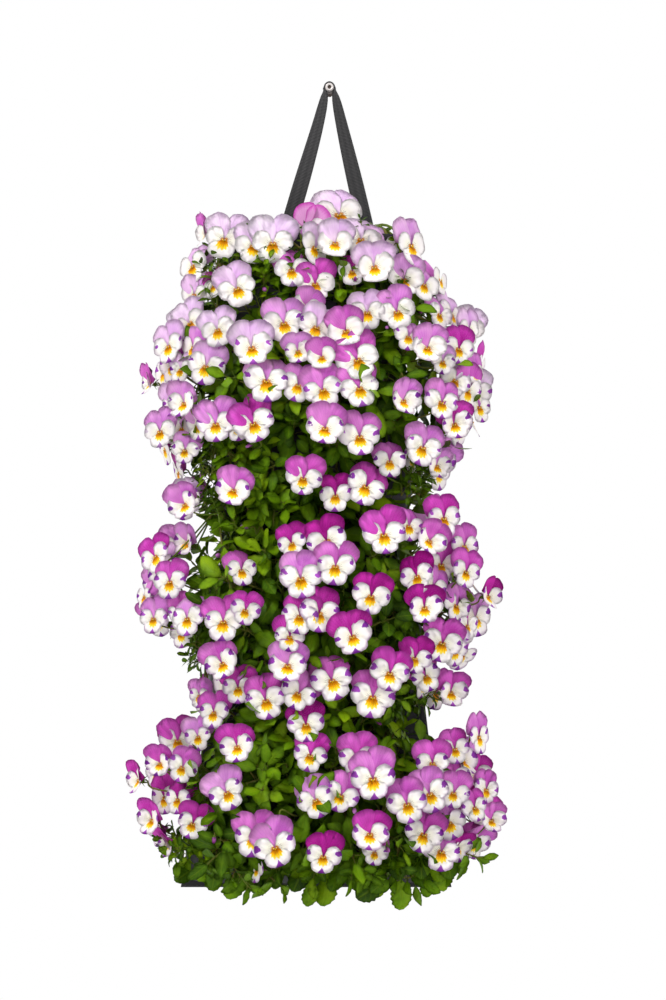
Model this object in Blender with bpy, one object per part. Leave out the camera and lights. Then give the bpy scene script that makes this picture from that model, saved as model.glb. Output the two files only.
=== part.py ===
"""Hanging viola pouch: a black fabric panel with four planted pockets, hung by a strap on a wall screw.

Metres, +Z up. The origin is on the wall plane, on the axis of the screw that the strap hangs on.
The wall is the plane y = 0, and the planted face looks along -Y.
"""

from math import cos, pi, radians, sin

import bmesh
import bpy
from mathutils import Vector

# ---- driving dimensions -------------------------------------------------------------------------------
GAP = 0.0003                    # air left between two pieces that touch
POUCH_X = -0.014                # the pouch hangs a little to the left of its screw

PANEL_THICK = 0.002
PANEL_TOP_Z, PANEL_BOTTOM_Z = -0.146, -0.836
PANEL_TOP_HALF = 0.092          # half width under the shoulders
PANEL_FLARE, FLARE_POWER = 0.050, 2.5
PANEL_FRONT_Y = -PANEL_THICK - GAP
SHOULDER_HALF, SHOULDER_DROP = 0.064, 0.022
HEM_WIDE, HEM_THICK = 0.009, 0.0010
HEM_CUTTER = 0.02               # depth of the helper shapes that trim the hem tape

TIERS = ("top", "upper", "lower", "bottom")
FIRST_MOUTH_Z, POCKET_SPACING = -0.160, 0.190
POCKET_TALL, POCKET_DEEP = 0.090, 0.086
POCKET_WALL = 0.0018
POCKET_BULGE = 0.004            # how far a filled pocket stands out past the panel's edge
POCKET_SQUARE = 3.2             # superellipse power of the plan: 2 is an ellipse, large is a box
POCKET_LEVELS = ((0.0, 0.965, 0.95), (0.4, 0.995, 0.99), (0.85, 0.995, 0.985), (1.0, 0.95, 0.92))
SOIL_BELOW_MOUTH = 0.012
SOIL_TOP = (0.973, 0.957)       # the compost's top, as shares of the pocket's half width and depth
SOIL_LEVELS = ((0.40, 0.995, 0.99), (0.85, 0.995, 0.985), (0.96, 0.95, 0.92))
HOLE_RISE = 0.010               # how far the shapes that cut the root holes stand above the compost

PLANTS = {"left": -1, "middle": 0, "right": 1}
PLANT_SPACING = 0.62            # of a pocket's half width, from the middle plant to an outer one
ROOT_TOP_R, ROOT_FOOT_R, ROOT_TALL = 0.023, 0.018, 0.055
CROWN_R, CROWN_TALL = 0.011, 0.022
STALK_R, WELL_R = 0.0038, 0.0060    # the bundle of flower stalks, and the way it takes through the leaves
STALK_RISE = 0.025              # the bundle goes straight up this far before it leans out
WELL_BELOW, WELL_BEYOND = 0.010, 0.020      # how far the shape that cuts a well runs past both its ends

# Each tier's foliage: middle height, half width, depth from the wall, half height, lowest and highest level.
FOLIAGE = {
    "top": (-0.195, 0.108, 0.126, 0.070, -0.228, -0.137),
    "upper": (-0.335, 0.146, 0.152, 0.135, -0.422, -0.244),
    "lower": (-0.540, 0.148, 0.155, 0.150, -0.650, -0.434),
    "bottom": (-0.750, 0.152, 0.158, 0.135, -0.838, -0.668),
}
FOLIAGE_POWER = 2.4
FOLIAGE_BACK_Y = -0.012
FOLIAGE_EDGE_DEEP = 0.004       # the least depth of the foliage, at its sides
LEAF_SWELL = 0.030              # how much clumps of leaves swell and sink the foliage's surface
SWELL_ROUND, SWELL_DOWN, SWELL_LEAN = 8, 2.4, 2     # clumps round the foliage and down it, and their slant
PARTING = 0.042                 # from the middle of a tier to where its plants meet
POCKET_CLEARANCE = 0.002        # air that the leaves leave round a pocket

FLOWER_R, FLOWER_NOTCH, FLOWER_HALF_THICK = 0.0190, 0.74, 0.0028
FLOWER_STAND_OFF = 0.0135       # from the foliage to the middle of a flower
ARM_R, ARM_STAND_OFF = 0.0014, 0.0060
KNOT_R, KNOT_STAND_OFF = 0.0062, 0.0075
KNOT_INSIDE = 0.5               # of the knot's radius: where a flower's own stalk starts in it
ARM_SHARES = (0.35, 0.70)       # where a stalk bends, on its way over the leaves
FLOWER_SPACING = 0.054
ROW_SPACING = 0.049
WIDEST_ANGLE = radians(68)      # how far round the side of the foliage the flowers go
ARC_STEPS = 60                  # steps in which that way round is measured
MIDDLE_PLANT = 0.75             # of the parting: flowers nearer the middle belong to the middle plant
# Heights of each tier's lowest row of flowers, its number of rows, and where its stalks part.
FLOWER_ROWS = {
    "top": (-0.208, 2, -0.148),
    "upper": (-0.403, 4, -0.325),
    "lower": (-0.630, 4, -0.513),
    "bottom": (-0.808, 3, -0.700),
}
KNOT_ANGLE = radians(36)
STRAY_STAND_OFF, STRAY_Z = 0.034, -0.728    # one long-stalked flower on each side of the bottom tier
STRAY_ANGLE = radians(82)

STRAP_WIDE, STRAP_THICK = 0.017, 0.0020
STRAP_SEAM_X = {-1: -0.0456, 1: 0.0446}     # where its two ends are sewn to the panel
STRAP_SEAM_LONG = 0.0125        # sewn to the panel above the top pocket's mouth
STRAP_MIDDLE_Y = -0.0105        # the strap's middle line, where it lies on the screw
STRAP_SEAM_RISE = 0.004         # the strap reaches the panel this far above its top edge
STRAP_BOW = 0.0010              # how far the strands bow apart under the screw
STRAP_TWIST, STRAP_TWIST_GAIN, STRAP_TWIST_POWER = 14, 76, 0.8     # degrees from edge on, and how they grow
STRAP_STEPS, STRAP_OVER_STEPS = 12, 8

SCREW_R, SCREW_HEAD_R = 0.0035, 0.00475
SCREW_HEAD_Y = -0.0205          # the underside of the head
SCREW_HEAD_TALL = 0.0030
SCREW_DOME = ((0.0, 1.0), (0.0012, 0.97), (0.0022, 0.80), (SCREW_HEAD_TALL, 0.50))
SCREW_POINT_R, SCREW_POINT_LONG = 0.0008, 0.006
SCREW_IN_WALL = 0.030
SOCKET_R, SOCKET_DEEP = 0.0016, 0.0014
SOCKET_OVERSHOOT = 0.002        # how far the shape that cuts the socket stands out of the head


# ---- small tools --------------------------------------------------------------------------------------
def clear_scene():
    for obj in list(bpy.data.objects):
        bpy.data.objects.remove(obj, do_unlink=True)


def material(name, colour, roughness, metallic=0.0):
    made = bpy.data.materials.new(name)
    made.use_nodes = True
    shader = made.node_tree.nodes["Principled BSDF"]
    shader.inputs["Base Color"].default_value = (*colour, 1.0)
    shader.inputs["Roughness"].default_value = roughness
    shader.inputs["Metallic"].default_value = metallic
    return made


def add_object(name, mesh_data, finish, smooth=True):
    """Turns a bmesh into a named object with outward faces."""
    bmesh.ops.recalc_face_normals(mesh_data, faces=mesh_data.faces)
    mesh = bpy.data.meshes.new(name)
    mesh_data.to_mesh(mesh)
    mesh_data.free()
    mesh.materials.append(finish)
    if smooth:
        mesh.shade_smooth()
        mesh.set_sharp_from_angle(angle=radians(40))
    obj = bpy.data.objects.new(name, mesh)
    bpy.context.scene.collection.objects.link(obj)
    return obj


def boolean(obj, other, operation):
    """Joins or cuts with a helper, which stays out of the model itself."""
    other.hide_render = True
    other.display_type = "WIRE"
    modifier = obj.modifiers.new(f"{operation.lower()} {other.name}", "BOOLEAN")
    modifier.operation = operation
    modifier.solver = "EXACT"
    modifier.object = other


def signed_power(value, power):
    return abs(value) ** power * (1 if value >= 0 else -1)


def circle(count, radius, start=0.0):
    """Points round the origin."""
    angles = [start + 2 * pi * k / count for k in range(count)]
    return [(radius * cos(a), radius * sin(a)) for a in angles]


def loft(mesh_data, rings):
    """Joins closed rings of equal length with quads and closes both ends."""
    loops = [[mesh_data.verts.new(point) for point in ring] for ring in rings]
    count = len(loops[0])
    for lower, upper in zip(loops, loops[1:]):
        for i in range(count):
            j = (i + 1) % count
            mesh_data.faces.new((lower[i], lower[j], upper[j], upper[i]))
    mesh_data.faces.new(loops[0])
    mesh_data.faces.new(loops[-1])


def tube(path, radius, sides):
    """A closed tube with flat ends along a short path of points, which doesn't twist on its way."""
    rings = []
    way = (path[1] - path[0]).normalized()
    turn = way.to_track_quat("Z", "Y")
    for i, point in enumerate(path):
        ahead = (path[min(i + 1, len(path) - 1)] - path[max(i - 1, 0)]).normalized()
        turn = way.rotation_difference(ahead) @ turn
        way = ahead
        rings.append([point + turn @ Vector((a, b, 0)) for a, b in circle(sides, radius)])
    mesh_data = bmesh.new()
    loft(mesh_data, rings)
    return mesh_data


# ---- the fabric panel and its pockets -------------------------------------------------------------------
def panel_half(z):
    """Half width of the panel at a height: it flares towards the hem."""
    down = (PANEL_TOP_Z - z) / (PANEL_TOP_Z - PANEL_BOTTOM_Z)
    return PANEL_TOP_HALF + PANEL_FLARE * down ** FLARE_POWER


def panel_outline(inset=0.0, steps=10):
    """Points round the panel, seen from the front, moved inwards by inset."""
    top, bottom = PANEL_TOP_Z - inset, PANEL_BOTTOM_Z + inset
    side_top = top - SHOULDER_DROP
    heights = [side_top + (bottom - side_top) * i / steps for i in range(steps + 1)]
    right = [(panel_half(z) - inset, z) for z in heights]
    shoulder = SHOULDER_HALF - inset / 2
    return [(-x, z) for x, z in reversed(right)] + [(-shoulder, top), (shoulder, top)] + right


def plate(name, outline, y_back, thickness, finish):
    """A flat plate with the given outline, in a plane parallel to the wall."""
    mesh_data = bmesh.new()
    loft(mesh_data, [[(POUCH_X + x, y, z) for x, z in outline] for y in (y_back, y_back - thickness)])
    return add_object(name, mesh_data, finish, smooth=False)


def build_panel(fabric, tape):
    plate("back_panel", panel_outline(), 0.0, PANEL_THICK, fabric)
    # The hem tape is sewn round the front face, so the back stays flat on the wall.
    # It stops under the shoulders, where the strap's ends are sewn.
    below_seams = PANEL_TOP_Z - SHOULDER_DROP
    hem = plate("hem_tape", panel_outline(), PANEL_FRONT_Y, HEM_THICK, tape)
    through = (PANEL_FRONT_Y + HEM_CUTTER / 2, HEM_CUTTER)
    boolean(hem, plate("hem_window", panel_outline(HEM_WIDE), *through, tape), "DIFFERENCE")
    wide = PANEL_TOP_HALF * 2
    above = [(-wide, below_seams), (wide, below_seams), (wide, 0), (-wide, 0)]
    boolean(hem, plate("hem_end_trim", above, *through, tape), "DIFFERENCE")


def mouth_z(tier):
    return FIRST_MOUTH_Z - POCKET_SPACING * TIERS.index(tier)


def pocket_half(tier):
    return panel_half(mouth_z(tier) - POCKET_TALL / 2) + POCKET_BULGE


def pocket_ring(tier, z, wide, deep, inset=0.0, points=20):
    """One level of a pocket: a rounded box in plan, whose back stays at the panel."""
    half = pocket_half(tier) * wide - inset
    depth = POCKET_DEEP * deep - 2 * inset
    middle_y = PANEL_FRONT_Y - inset - depth / 2
    return [
        (
            POUCH_X + half * signed_power(a, 2 / POCKET_SQUARE),
            middle_y + depth / 2 * signed_power(b, 2 / POCKET_SQUARE),
            z,
        )
        for a, b in circle(points, 1.0, start=pi / points)
    ]


def build_pocket(tier, fabric):
    """An open-topped pouch of fabric, sewn to the panel by its back wall."""
    mouth = mouth_z(tier)
    outer = [pocket_ring(tier, mouth - POCKET_TALL * s, w, d) for s, w, d in POCKET_LEVELS]
    inner_tall = POCKET_TALL - POCKET_WALL
    inner = [pocket_ring(tier, mouth - inner_tall * s, w, d, POCKET_WALL) for s, w, d in POCKET_LEVELS]
    mesh_data = bmesh.new()
    loft(mesh_data, list(reversed(outer)) + inner)
    # The mouth is open: its rim joins the two walls, and the inner floor closes the hollow.
    add_object(f"pocket_{tier}", mesh_data, fabric)


def root_place(tier, side):
    """Where the middle of a root ball's top lies."""
    x = POUCH_X + side * PLANT_SPACING * pocket_half(tier)
    return Vector((x, PANEL_FRONT_Y - POCKET_DEEP / 2, mouth_z(tier) - SOIL_BELOW_MOUTH))


def root_rings(top, levels):
    """Rings of a turned plug under a point, from (height, radius) pairs."""
    return [[(top.x + a, top.y + b, top.z + dz) for a, b in circle(10, r)] for dz, r in levels]


def build_soil(tier, earth):
    """The compost that fills a pocket, with a hole for each root ball."""
    mouth = mouth_z(tier)
    inset = POCKET_WALL + 3 * GAP
    inner_tall = POCKET_TALL - POCKET_WALL
    top = pocket_ring(tier, mouth - SOIL_BELOW_MOUTH, *SOIL_TOP, inset)
    rest = [pocket_ring(tier, mouth - inner_tall * s, w, d, inset) for s, w, d in SOIL_LEVELS]
    mesh_data = bmesh.new()
    loft(mesh_data, [top] + rest)
    soil = add_object(f"soil_{tier}", mesh_data, earth)
    for plant, side in PLANTS.items():
        hole = bmesh.new()
        levels = (
            (-ROOT_TALL - GAP, ROOT_FOOT_R + GAP),
            (0.0, ROOT_TOP_R + GAP),
            (HOLE_RISE, ROOT_TOP_R + GAP),
        )
        loft(hole, root_rings(root_place(tier, side), levels))
        boolean(soil, add_object(f"root_hole_{tier}_{plant}", hole, earth), "DIFFERENCE")


# ---- the plants ---------------------------------------------------------------------------------------
def foliage_share(tier, z):
    """How wide and deep the foliage is at a height, as a share of its most."""
    middle_z, _, _, tall, _, _ = FOLIAGE[tier]
    return (1 - abs((z - middle_z) / tall) ** FOLIAGE_POWER) ** (1 / FOLIAGE_POWER)


def foliage_point(tier, angle, z, swell=LEAF_SWELL):
    """A point of the foliage's surface at a height, angle radians round from straight ahead."""
    _, half, deep, _, _, _ = FOLIAGE[tier]
    size = foliage_share(tier, z) * (1 + swell)
    x = half * size * signed_power(sin(angle), 2 / FOLIAGE_POWER)
    y = -deep * size * abs(cos(angle)) ** (2 / FOLIAGE_POWER)
    return Vector((POUCH_X + x, y, z))


def above_foliage(tier, angle, z, stand_off):
    """A point at this distance from the fullest foliage, and the way that the surface faces there."""
    middle_z, half, deep, tall, _, _ = FOLIAGE[tier]
    point = foliage_point(tier, angle, z)
    local = (point.x - POUCH_X, point.y, point.z - middle_z)
    axes = (half, deep, tall)
    facing = Vector([signed_power(c / a, FOLIAGE_POWER - 1) / a for c, a in zip(local, axes)]).normalized()
    return point + facing * stand_off, facing


def foliage_mound(tier, columns=12, rows=6):
    """A tier's whole foliage: a leafy bulge with a flat back."""
    _, _, _, _, low, high = FOLIAGE[tier]
    mesh_data = bmesh.new()
    rings = []
    for r in range(rows + 1):
        z = low + (high - low) * r / rows
        front = []
        for c in range(columns + 1):
            angle = -pi / 2 + pi * c / columns
            round_wave = sin(SWELL_ROUND * angle + SWELL_LEAN * r)
            down_wave = cos(SWELL_DOWN * r + TIERS.index(tier))
            point = foliage_point(tier, angle, z, LEAF_SWELL * round_wave * down_wave)
            front.append(Vector((point.x, min(point.y, FOLIAGE_BACK_Y - FOLIAGE_EDGE_DEEP), z)))
        ends = [Vector((front[i].x, FOLIAGE_BACK_Y, z)) for i in (-1, 0)]
        rings.append(front + ends)
    loft(mesh_data, rings)
    bmesh.ops.triangulate(mesh_data, faces=[f for f in mesh_data.faces if len(f.verts) > 4])
    return mesh_data


def keep_side(mesh_data, x, keep_right):
    """Keeps one side of the plane at x and closes the cut."""
    cut = bmesh.ops.bisect_plane(
        mesh_data,
        geom=mesh_data.verts[:] + mesh_data.edges[:] + mesh_data.faces[:],
        plane_co=Vector((x, 0, 0)),
        plane_no=Vector((-1 if keep_right else 1, 0, 0)),
        clear_outer=True,
    )
    rim = [e for e in cut["geom_cut"] if isinstance(e, bmesh.types.BMEdge)]
    bmesh.ops.holes_fill(mesh_data, edges=rim, sides=0)


def pocket_clearance(tier, leaves):
    """What foliage leaves free: a pocket, and what fills it, up to just over its mouth."""
    mouth = mouth_z(tier)
    levels = [(-0.02, 0.965, 0.95), *POCKET_LEVELS[1:-1], (1.02, 0.96, 0.94)]
    mesh_data = bmesh.new()
    rings = [pocket_ring(tier, mouth - POCKET_TALL * s, w, d, -POCKET_CLEARANCE) for s, w, d in levels]
    loft(mesh_data, rings)
    return add_object(f"pocket_clearance_{tier}", mesh_data, leaves)


def knot_place(tier, side):
    """Where a plant's flower stalks part, just above its leaves."""
    return above_foliage(tier, side * KNOT_ANGLE, FLOWER_ROWS[tier][2], KNOT_STAND_OFF)[0]


def stalk_path(tier, side):
    root = root_place(tier, side)
    return [root, root + Vector((0, 0, STALK_RISE)), knot_place(tier, side)]


def build_foliage(tier, plant, clearances, leaves):
    """One plant's leaves: its share of the tier's foliage, on a short crown that stands on the root ball."""
    side = PLANTS[plant]
    mesh_data = foliage_mound(tier)
    if side == 0:
        keep_side(mesh_data, POUCH_X - PARTING + GAP, True)
        keep_side(mesh_data, POUCH_X + PARTING - GAP, False)
    else:
        keep_side(mesh_data, POUCH_X + side * PARTING, side > 0)
    name = f"viola_{tier}_{plant}_foliage"
    foliage = add_object(name, mesh_data, leaves)
    for clearance in clearances:
        boolean(foliage, clearance, "DIFFERENCE")
    root = root_place(tier, side)
    crown = tube([root + Vector((0, 0, GAP)), root + Vector((0, 0, CROWN_TALL))], CROWN_R, 10)
    boolean(foliage, add_object(f"{name}_crown", crown, leaves), "UNION")
    path = stalk_path(tier, side)
    beyond = path[-1] + (path[-1] - path[-2]).normalized() * WELL_BEYOND
    well = [path[0] - Vector((0, 0, WELL_BELOW)), *path[1:], beyond]
    boolean(foliage, add_object(f"{name}_well", tube(well, WELL_R, 8), leaves), "DIFFERENCE")


def flower_lens(middle, facing):
    """A plain five-lobed flower: a thin lens whose outline dips between the petals."""
    turn = facing.to_track_quat("Z", "Y").to_matrix()
    mesh_data = bmesh.new()
    outline = [
        (x * (1 if k % 2 == 0 else FLOWER_NOTCH), y * (1 if k % 2 == 0 else FLOWER_NOTCH))
        for k, (x, y) in enumerate(circle(10, FLOWER_R, start=pi / 2))
    ]
    rim = [mesh_data.verts.new(middle + turn @ Vector((x, y, 0))) for x, y in outline]
    face = mesh_data.verts.new(middle + turn @ Vector((0, 0, FLOWER_HALF_THICK)))
    back = mesh_data.verts.new(middle - turn @ Vector((0, 0, FLOWER_HALF_THICK)))
    for here, after in zip(rim, rim[1:] + rim[:1]):
        mesh_data.faces.new((here, after, face))
        mesh_data.faces.new((after, here, back))
    return mesh_data


def arc_steps(tier, z):
    """Lengths of short equal turns from straight ahead round the foliage's side, at a height."""
    arc = [foliage_point(tier, WIDEST_ANGLE * i / ARC_STEPS, z) for i in range(ARC_STEPS + 1)]
    return [(after - here).length for here, after in zip(arc, arc[1:])]


def flower_places(tier):
    """(angle, height) of each flower of a tier: rows of evenly spaced flowers, like laid bricks."""
    lowest, rows, _ = FLOWER_ROWS[tier]
    places = []
    for row in range(rows):
        z = lowest + ROW_SPACING * row
        steps = arc_steps(tier, z)
        half_arc = sum(steps)
        count = int(2 * half_arc / FLOWER_SPACING) + 1
        if (count - row) % 2 == 0:
            count -= 1
        for k in range(count):
            target = abs(k - (count - 1) / 2) * FLOWER_SPACING
            reached, i = 0.0, 0
            while reached < target and i < ARC_STEPS:
                reached += steps[i]
                i += 1
            angle = WIDEST_ANGLE * i / ARC_STEPS
            places.append((angle if k >= (count - 1) / 2 else -angle, z))
    return places


def plant_of(tier, angle, z):
    x = foliage_point(tier, angle, z).x - POUCH_X
    if abs(x) < PARTING * MIDDLE_PLANT:
        return "middle"
    return "right" if x > 0 else "left"


def stalk_to_flower(tier, start, target, stand_off):
    """A stalk that runs over the leaves from the knot and turns up into the back of its flower."""
    (angle_a, z_a), (angle_b, z_b) = start, target
    knot = above_foliage(tier, angle_a, z_a, KNOT_STAND_OFF)[0]
    middle, facing = above_foliage(tier, angle_b, z_b, stand_off)
    path = []
    for share in ARM_SHARES:
        angle = angle_a + (angle_b - angle_a) * share
        z = z_a + (z_b - z_a) * share
        path.append(above_foliage(tier, angle, z, ARM_STAND_OFF)[0])
    path.append(middle - facing * (stand_off - ARM_STAND_OFF))
    path.append(middle)
    first = knot + (path[0] - knot).normalized() * KNOT_R * KNOT_INSIDE
    return tube([first] + path, ARM_R, 3)


def build_blooms(tier, plant, petals):
    """One plant's flowers, on stalks that rise through the crown together and fan out over the leaves."""
    side = PLANTS[plant]
    name = f"viola_{tier}_{plant}_blooms"
    path = stalk_path(tier, side)
    path[0] = path[0] + Vector((0, 0, 2 * GAP))
    blooms = add_object(name, tube(path, STALK_R, 6), petals)
    knot = bmesh.new()
    bmesh.ops.create_icosphere(knot, subdivisions=1, radius=KNOT_R)
    bmesh.ops.translate(knot, verts=knot.verts, vec=knot_place(tier, side))
    boolean(blooms, add_object(f"{name}_knot", knot, petals), "UNION")
    places = [(place, FLOWER_STAND_OFF) for place in flower_places(tier) if plant_of(tier, *place) == plant]
    if tier == TIERS[-1] and side:
        places.append(((side * STRAY_ANGLE, STRAY_Z), STRAY_STAND_OFF))
    start = (side * KNOT_ANGLE, FLOWER_ROWS[tier][2])
    for number, (place, stand_off) in enumerate(places):
        stalk = add_object(f"{name}_stalk_{number}", stalk_to_flower(tier, start, place, stand_off), petals)
        boolean(blooms, stalk, "UNION")
        middle, facing = above_foliage(tier, *place, stand_off)
        lens = add_object(f"{name}_flower_{number}", flower_lens(middle, facing), petals)
        boolean(blooms, lens, "UNION")


# ---- strap and screw ----------------------------------------------------------------------------------
def strand_stations(side):
    """(middle, twist) down one strand, from the screw to its sewn end: 0 is edge on, 90 degrees is flat."""
    sewn_y = PANEL_FRONT_Y - STRAP_THICK / 2
    start = Vector((side * (SCREW_R + GAP + STRAP_THICK / 2), STRAP_MIDDLE_Y, 0.0))
    seam_top = Vector((STRAP_SEAM_X[side], sewn_y, PANEL_TOP_Z + STRAP_SEAM_RISE))
    stations = []
    for i in range(1, STRAP_STEPS + 1):
        t = i / STRAP_STEPS
        middle = start.lerp(seam_top, t)
        # The bow spreads over the upper third of the strand.
        middle.x += side * STRAP_BOW * sin(pi * min(t * 3, 1))
        stations.append((middle, radians(STRAP_TWIST + STRAP_TWIST_GAIN * t ** STRAP_TWIST_POWER)))
    stations.append((Vector((STRAP_SEAM_X[side], sewn_y, PANEL_TOP_Z - STRAP_SEAM_LONG)), radians(90)))
    return stations


def build_strap(webbing):
    """One length of webbing: up from the left seam, over the screw and down to the right seam."""
    reach = SCREW_R + GAP + STRAP_THICK / 2
    over = []
    for k in range(STRAP_OVER_STEPS + 1):
        angle = pi - pi * k / STRAP_OVER_STEPS
        over.append((Vector((reach * cos(angle), STRAP_MIDDLE_Y, reach * sin(angle))), 0.0))
    line = list(reversed(strand_stations(-1))) + over + strand_stations(1)
    rings = []
    for i, (point, twist) in enumerate(line):
        ahead = (line[min(i + 1, len(line) - 1)][0] - line[max(i - 1, 0)][0]).normalized()
        sideways = ahead.cross(Vector((0, -1, 0))).normalized()
        towards_wall = ahead.cross(sideways).normalized()
        towards_wall *= -1 if towards_wall.y < 0 else 1
        # The front edge turns away from the middle of the loop.
        outward = -sideways if sideways.x * (1 if i > len(line) / 2 else -1) < 0 else sideways
        wide = -towards_wall * cos(twist) + outward * sin(twist)
        flat = wide.cross(ahead).normalized()
        rings.append([
            point + wide * a * STRAP_WIDE / 2 + flat * b * STRAP_THICK / 2
            for a, b in ((-1, -1), (1, -1), (1, 1), (-1, 1))
        ])
    mesh_data = bmesh.new()
    loft(mesh_data, rings)
    add_object("hanging_strap", mesh_data, webbing, smooth=False)


def build_screw(steel):
    """A button-head wall screw with a hexagon socket; its tail is in the wall, behind y = 0."""
    shank = (
        (SCREW_IN_WALL, SCREW_POINT_R),
        (SCREW_IN_WALL - SCREW_POINT_LONG, SCREW_R),
        (SCREW_HEAD_Y, SCREW_R),
    )
    dome = tuple((SCREW_HEAD_Y - out, SCREW_HEAD_R * share) for out, share in SCREW_DOME)
    mesh_data = bmesh.new()
    loft(mesh_data, [[(a, y, b) for a, b in circle(16, r)] for y, r in shank + dome])
    screw = add_object("wall_screw", mesh_data, steel)
    front = SCREW_HEAD_Y - SCREW_HEAD_TALL
    socket = bmesh.new()
    ends = (front + SOCKET_DEEP, front - SOCKET_OVERSHOOT)
    loft(socket, [[(a, y, b) for a, b in circle(6, SOCKET_R)] for y in ends])
    boolean(screw, add_object("screw_socket", socket, steel), "DIFFERENCE")


# ---- assembly -----------------------------------------------------------------------------------------
def main():
    clear_scene()
    fabric = material("pouch_fabric", (0.020, 0.021, 0.023), 0.55)
    tape = material("hem_tape", (0.012, 0.012, 0.013), 0.7)
    webbing = material("strap_webbing", (0.055, 0.055, 0.058), 0.85)
    steel = material("screw_steel", (0.72, 0.70, 0.67), 0.25, metallic=1.0)
    earth = material("compost", (0.045, 0.028, 0.018), 0.95)
    roots = material("root_ball", (0.12, 0.085, 0.055), 0.95)
    leaves = material("viola_leaves", (0.13, 0.27, 0.03), 0.5)
    petals = material("viola_petals", (0.80, 0.55, 0.80), 0.6)

    build_panel(fabric, tape)
    build_strap(webbing)
    build_screw(steel)
    clearances = []
    for tier in TIERS:
        build_pocket(tier, fabric)
        build_soil(tier, earth)
        clearances.append(pocket_clearance(tier, leaves))
        for plant, side in PLANTS.items():
            ball = bmesh.new()
            loft(ball, root_rings(root_place(tier, side), ((-ROOT_TALL, ROOT_FOOT_R), (0.0, ROOT_TOP_R))))
            add_object(f"viola_{tier}_{plant}_root_ball", ball, roots)
            build_foliage(tier, plant, clearances[-2:], leaves)
            build_blooms(tier, plant, petals)


main()
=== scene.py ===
# %% [markdown]
# # A hanging pouch of violas
#
# The object is a tall black fabric pouch with four pockets, planted with violas and hung from one screw by
# a loop of webbing. Its frame already exists: plain solids of the right size, in metres, with +Z up and the
# wall at y = 0. This lesson dresses that frame. It grows the flowers, leaves and stalks, sews the pouch and
# weaves the strap.

# %% Load the frame
from math import cos, pi, radians, sin

import bpy
import numpy as np
from mathutils import Matrix, Vector


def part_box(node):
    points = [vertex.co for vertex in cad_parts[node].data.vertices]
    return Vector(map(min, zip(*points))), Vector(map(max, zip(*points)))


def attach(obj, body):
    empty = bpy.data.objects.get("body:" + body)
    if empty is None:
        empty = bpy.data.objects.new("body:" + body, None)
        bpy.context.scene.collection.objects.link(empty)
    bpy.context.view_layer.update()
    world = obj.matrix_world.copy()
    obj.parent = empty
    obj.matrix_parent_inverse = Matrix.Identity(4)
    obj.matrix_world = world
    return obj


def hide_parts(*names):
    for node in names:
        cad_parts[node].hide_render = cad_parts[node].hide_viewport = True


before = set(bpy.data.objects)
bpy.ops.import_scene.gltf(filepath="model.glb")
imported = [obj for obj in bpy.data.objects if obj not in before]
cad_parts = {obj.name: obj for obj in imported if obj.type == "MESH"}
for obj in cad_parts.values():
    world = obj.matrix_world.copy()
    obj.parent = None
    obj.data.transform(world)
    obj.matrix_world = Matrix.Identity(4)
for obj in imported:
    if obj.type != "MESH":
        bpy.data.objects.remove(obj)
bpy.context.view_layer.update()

print("pieces in the frame:", len(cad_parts))

# %% [markdown]
# ## Camera, light and floor
#
# The pouch is looked at straight on, from its middle height, by a long lens that keeps it upright and
# undistorted. One broad lamp high on the left and a bright even room give the soft light of a studio. The
# floor and the room look white to the camera, to mirrors and through glass, but shine only at a plain level
# on the plants.

# %% Camera
VIEW_TALL = 1.05  # metres of the wall that the view's height covers
SENSOR_TALL = 36.0  # in millimetres, like the lens
CAMERA_PLACE = Vector((0.0037, -2.6, -0.430))

camera_data = bpy.data.cameras.new("camera")
camera_data.sensor_width = SENSOR_TALL  # it lies along the longer side of the view, which is its height
camera_data.lens = SENSOR_TALL * -CAMERA_PLACE.y / VIEW_TALL
camera = bpy.data.objects.new("camera", camera_data)
camera.location = CAMERA_PLACE
camera.rotation_euler = (radians(90), 0, 0)
scene = bpy.context.scene
scene.collection.objects.link(camera)
scene.camera = camera
scene.view_settings.view_transform = "Standard"
print(f"lens: {camera_data.lens:.1f} mm")

# %% [markdown]
# ## Shader maths as plain expressions
#
# A material is a network of nodes. Written out node by node, its maths is hard to read. The small class
# below wraps one output socket and lets it be added, multiplied and compared like a number, and makes the
# nodes behind the scenes.

# %% A value in a shader
class Value:
    """An output socket of a node tree that takes part in plain arithmetic."""

    def __init__(self, tree, socket):
        self.tree, self.socket = tree, socket

    def node(self, kind, settings=None, out=0, **sockets):
        """Adds any node: its settings first, then its sockets by name or, as _0, _1, by number."""
        made = self.tree.nodes.new(kind)
        for name, value in (settings or {}).items():
            setattr(made, name, value)
        for name, value in sockets.items():
            key = int(name[1:]) if name[0] == "_" else name.replace("_", " ")
            if isinstance(value, Value):
                self.tree.links.new(value.socket, made.inputs[key])
            else:
                made.inputs[key].default_value = value
        return Value(self.tree, made.outputs[out])

    def math(self, operation, *others):
        sockets = {f"_{i}": v for i, v in enumerate((self, *others))}
        return self.node("ShaderNodeMath", {"operation": operation}, **sockets)

    def __add__(self, other):
        return self.math("ADD", other)

    __radd__ = __add__

    def __mul__(self, other):
        return self.math("MULTIPLY", other)

    __rmul__ = __mul__

    def __sub__(self, other):
        return self.math("SUBTRACT", other)

    def __rsub__(self, other):
        return (self * -1.0) + other

    def __truediv__(self, other):
        return self.math("DIVIDE", other)

    def __abs__(self):
        return self.math("ABSOLUTE")

    def sine(self):
        return self.math("SINE")

    def step(self, start, end):
        """0 where this is at start and 1 where it is at end, with a soft slope between."""
        settings = {"interpolation_type": "SMOOTHSTEP"}
        return self.node("ShaderNodeMapRange", settings, Value=self, From_Min=start, From_Max=end)

    def mix(self, low, high):
        """A colour between low and high, by this value."""
        colours = {"_6": low, "_7": high}
        return self.node("ShaderNodeMix", {"data_type": "RGBA"}, out=2, _0=self, **colours)

    def axis(self, number):
        return self.node("ShaderNodeSeparateXYZ", out=number, _0=self)


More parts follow.
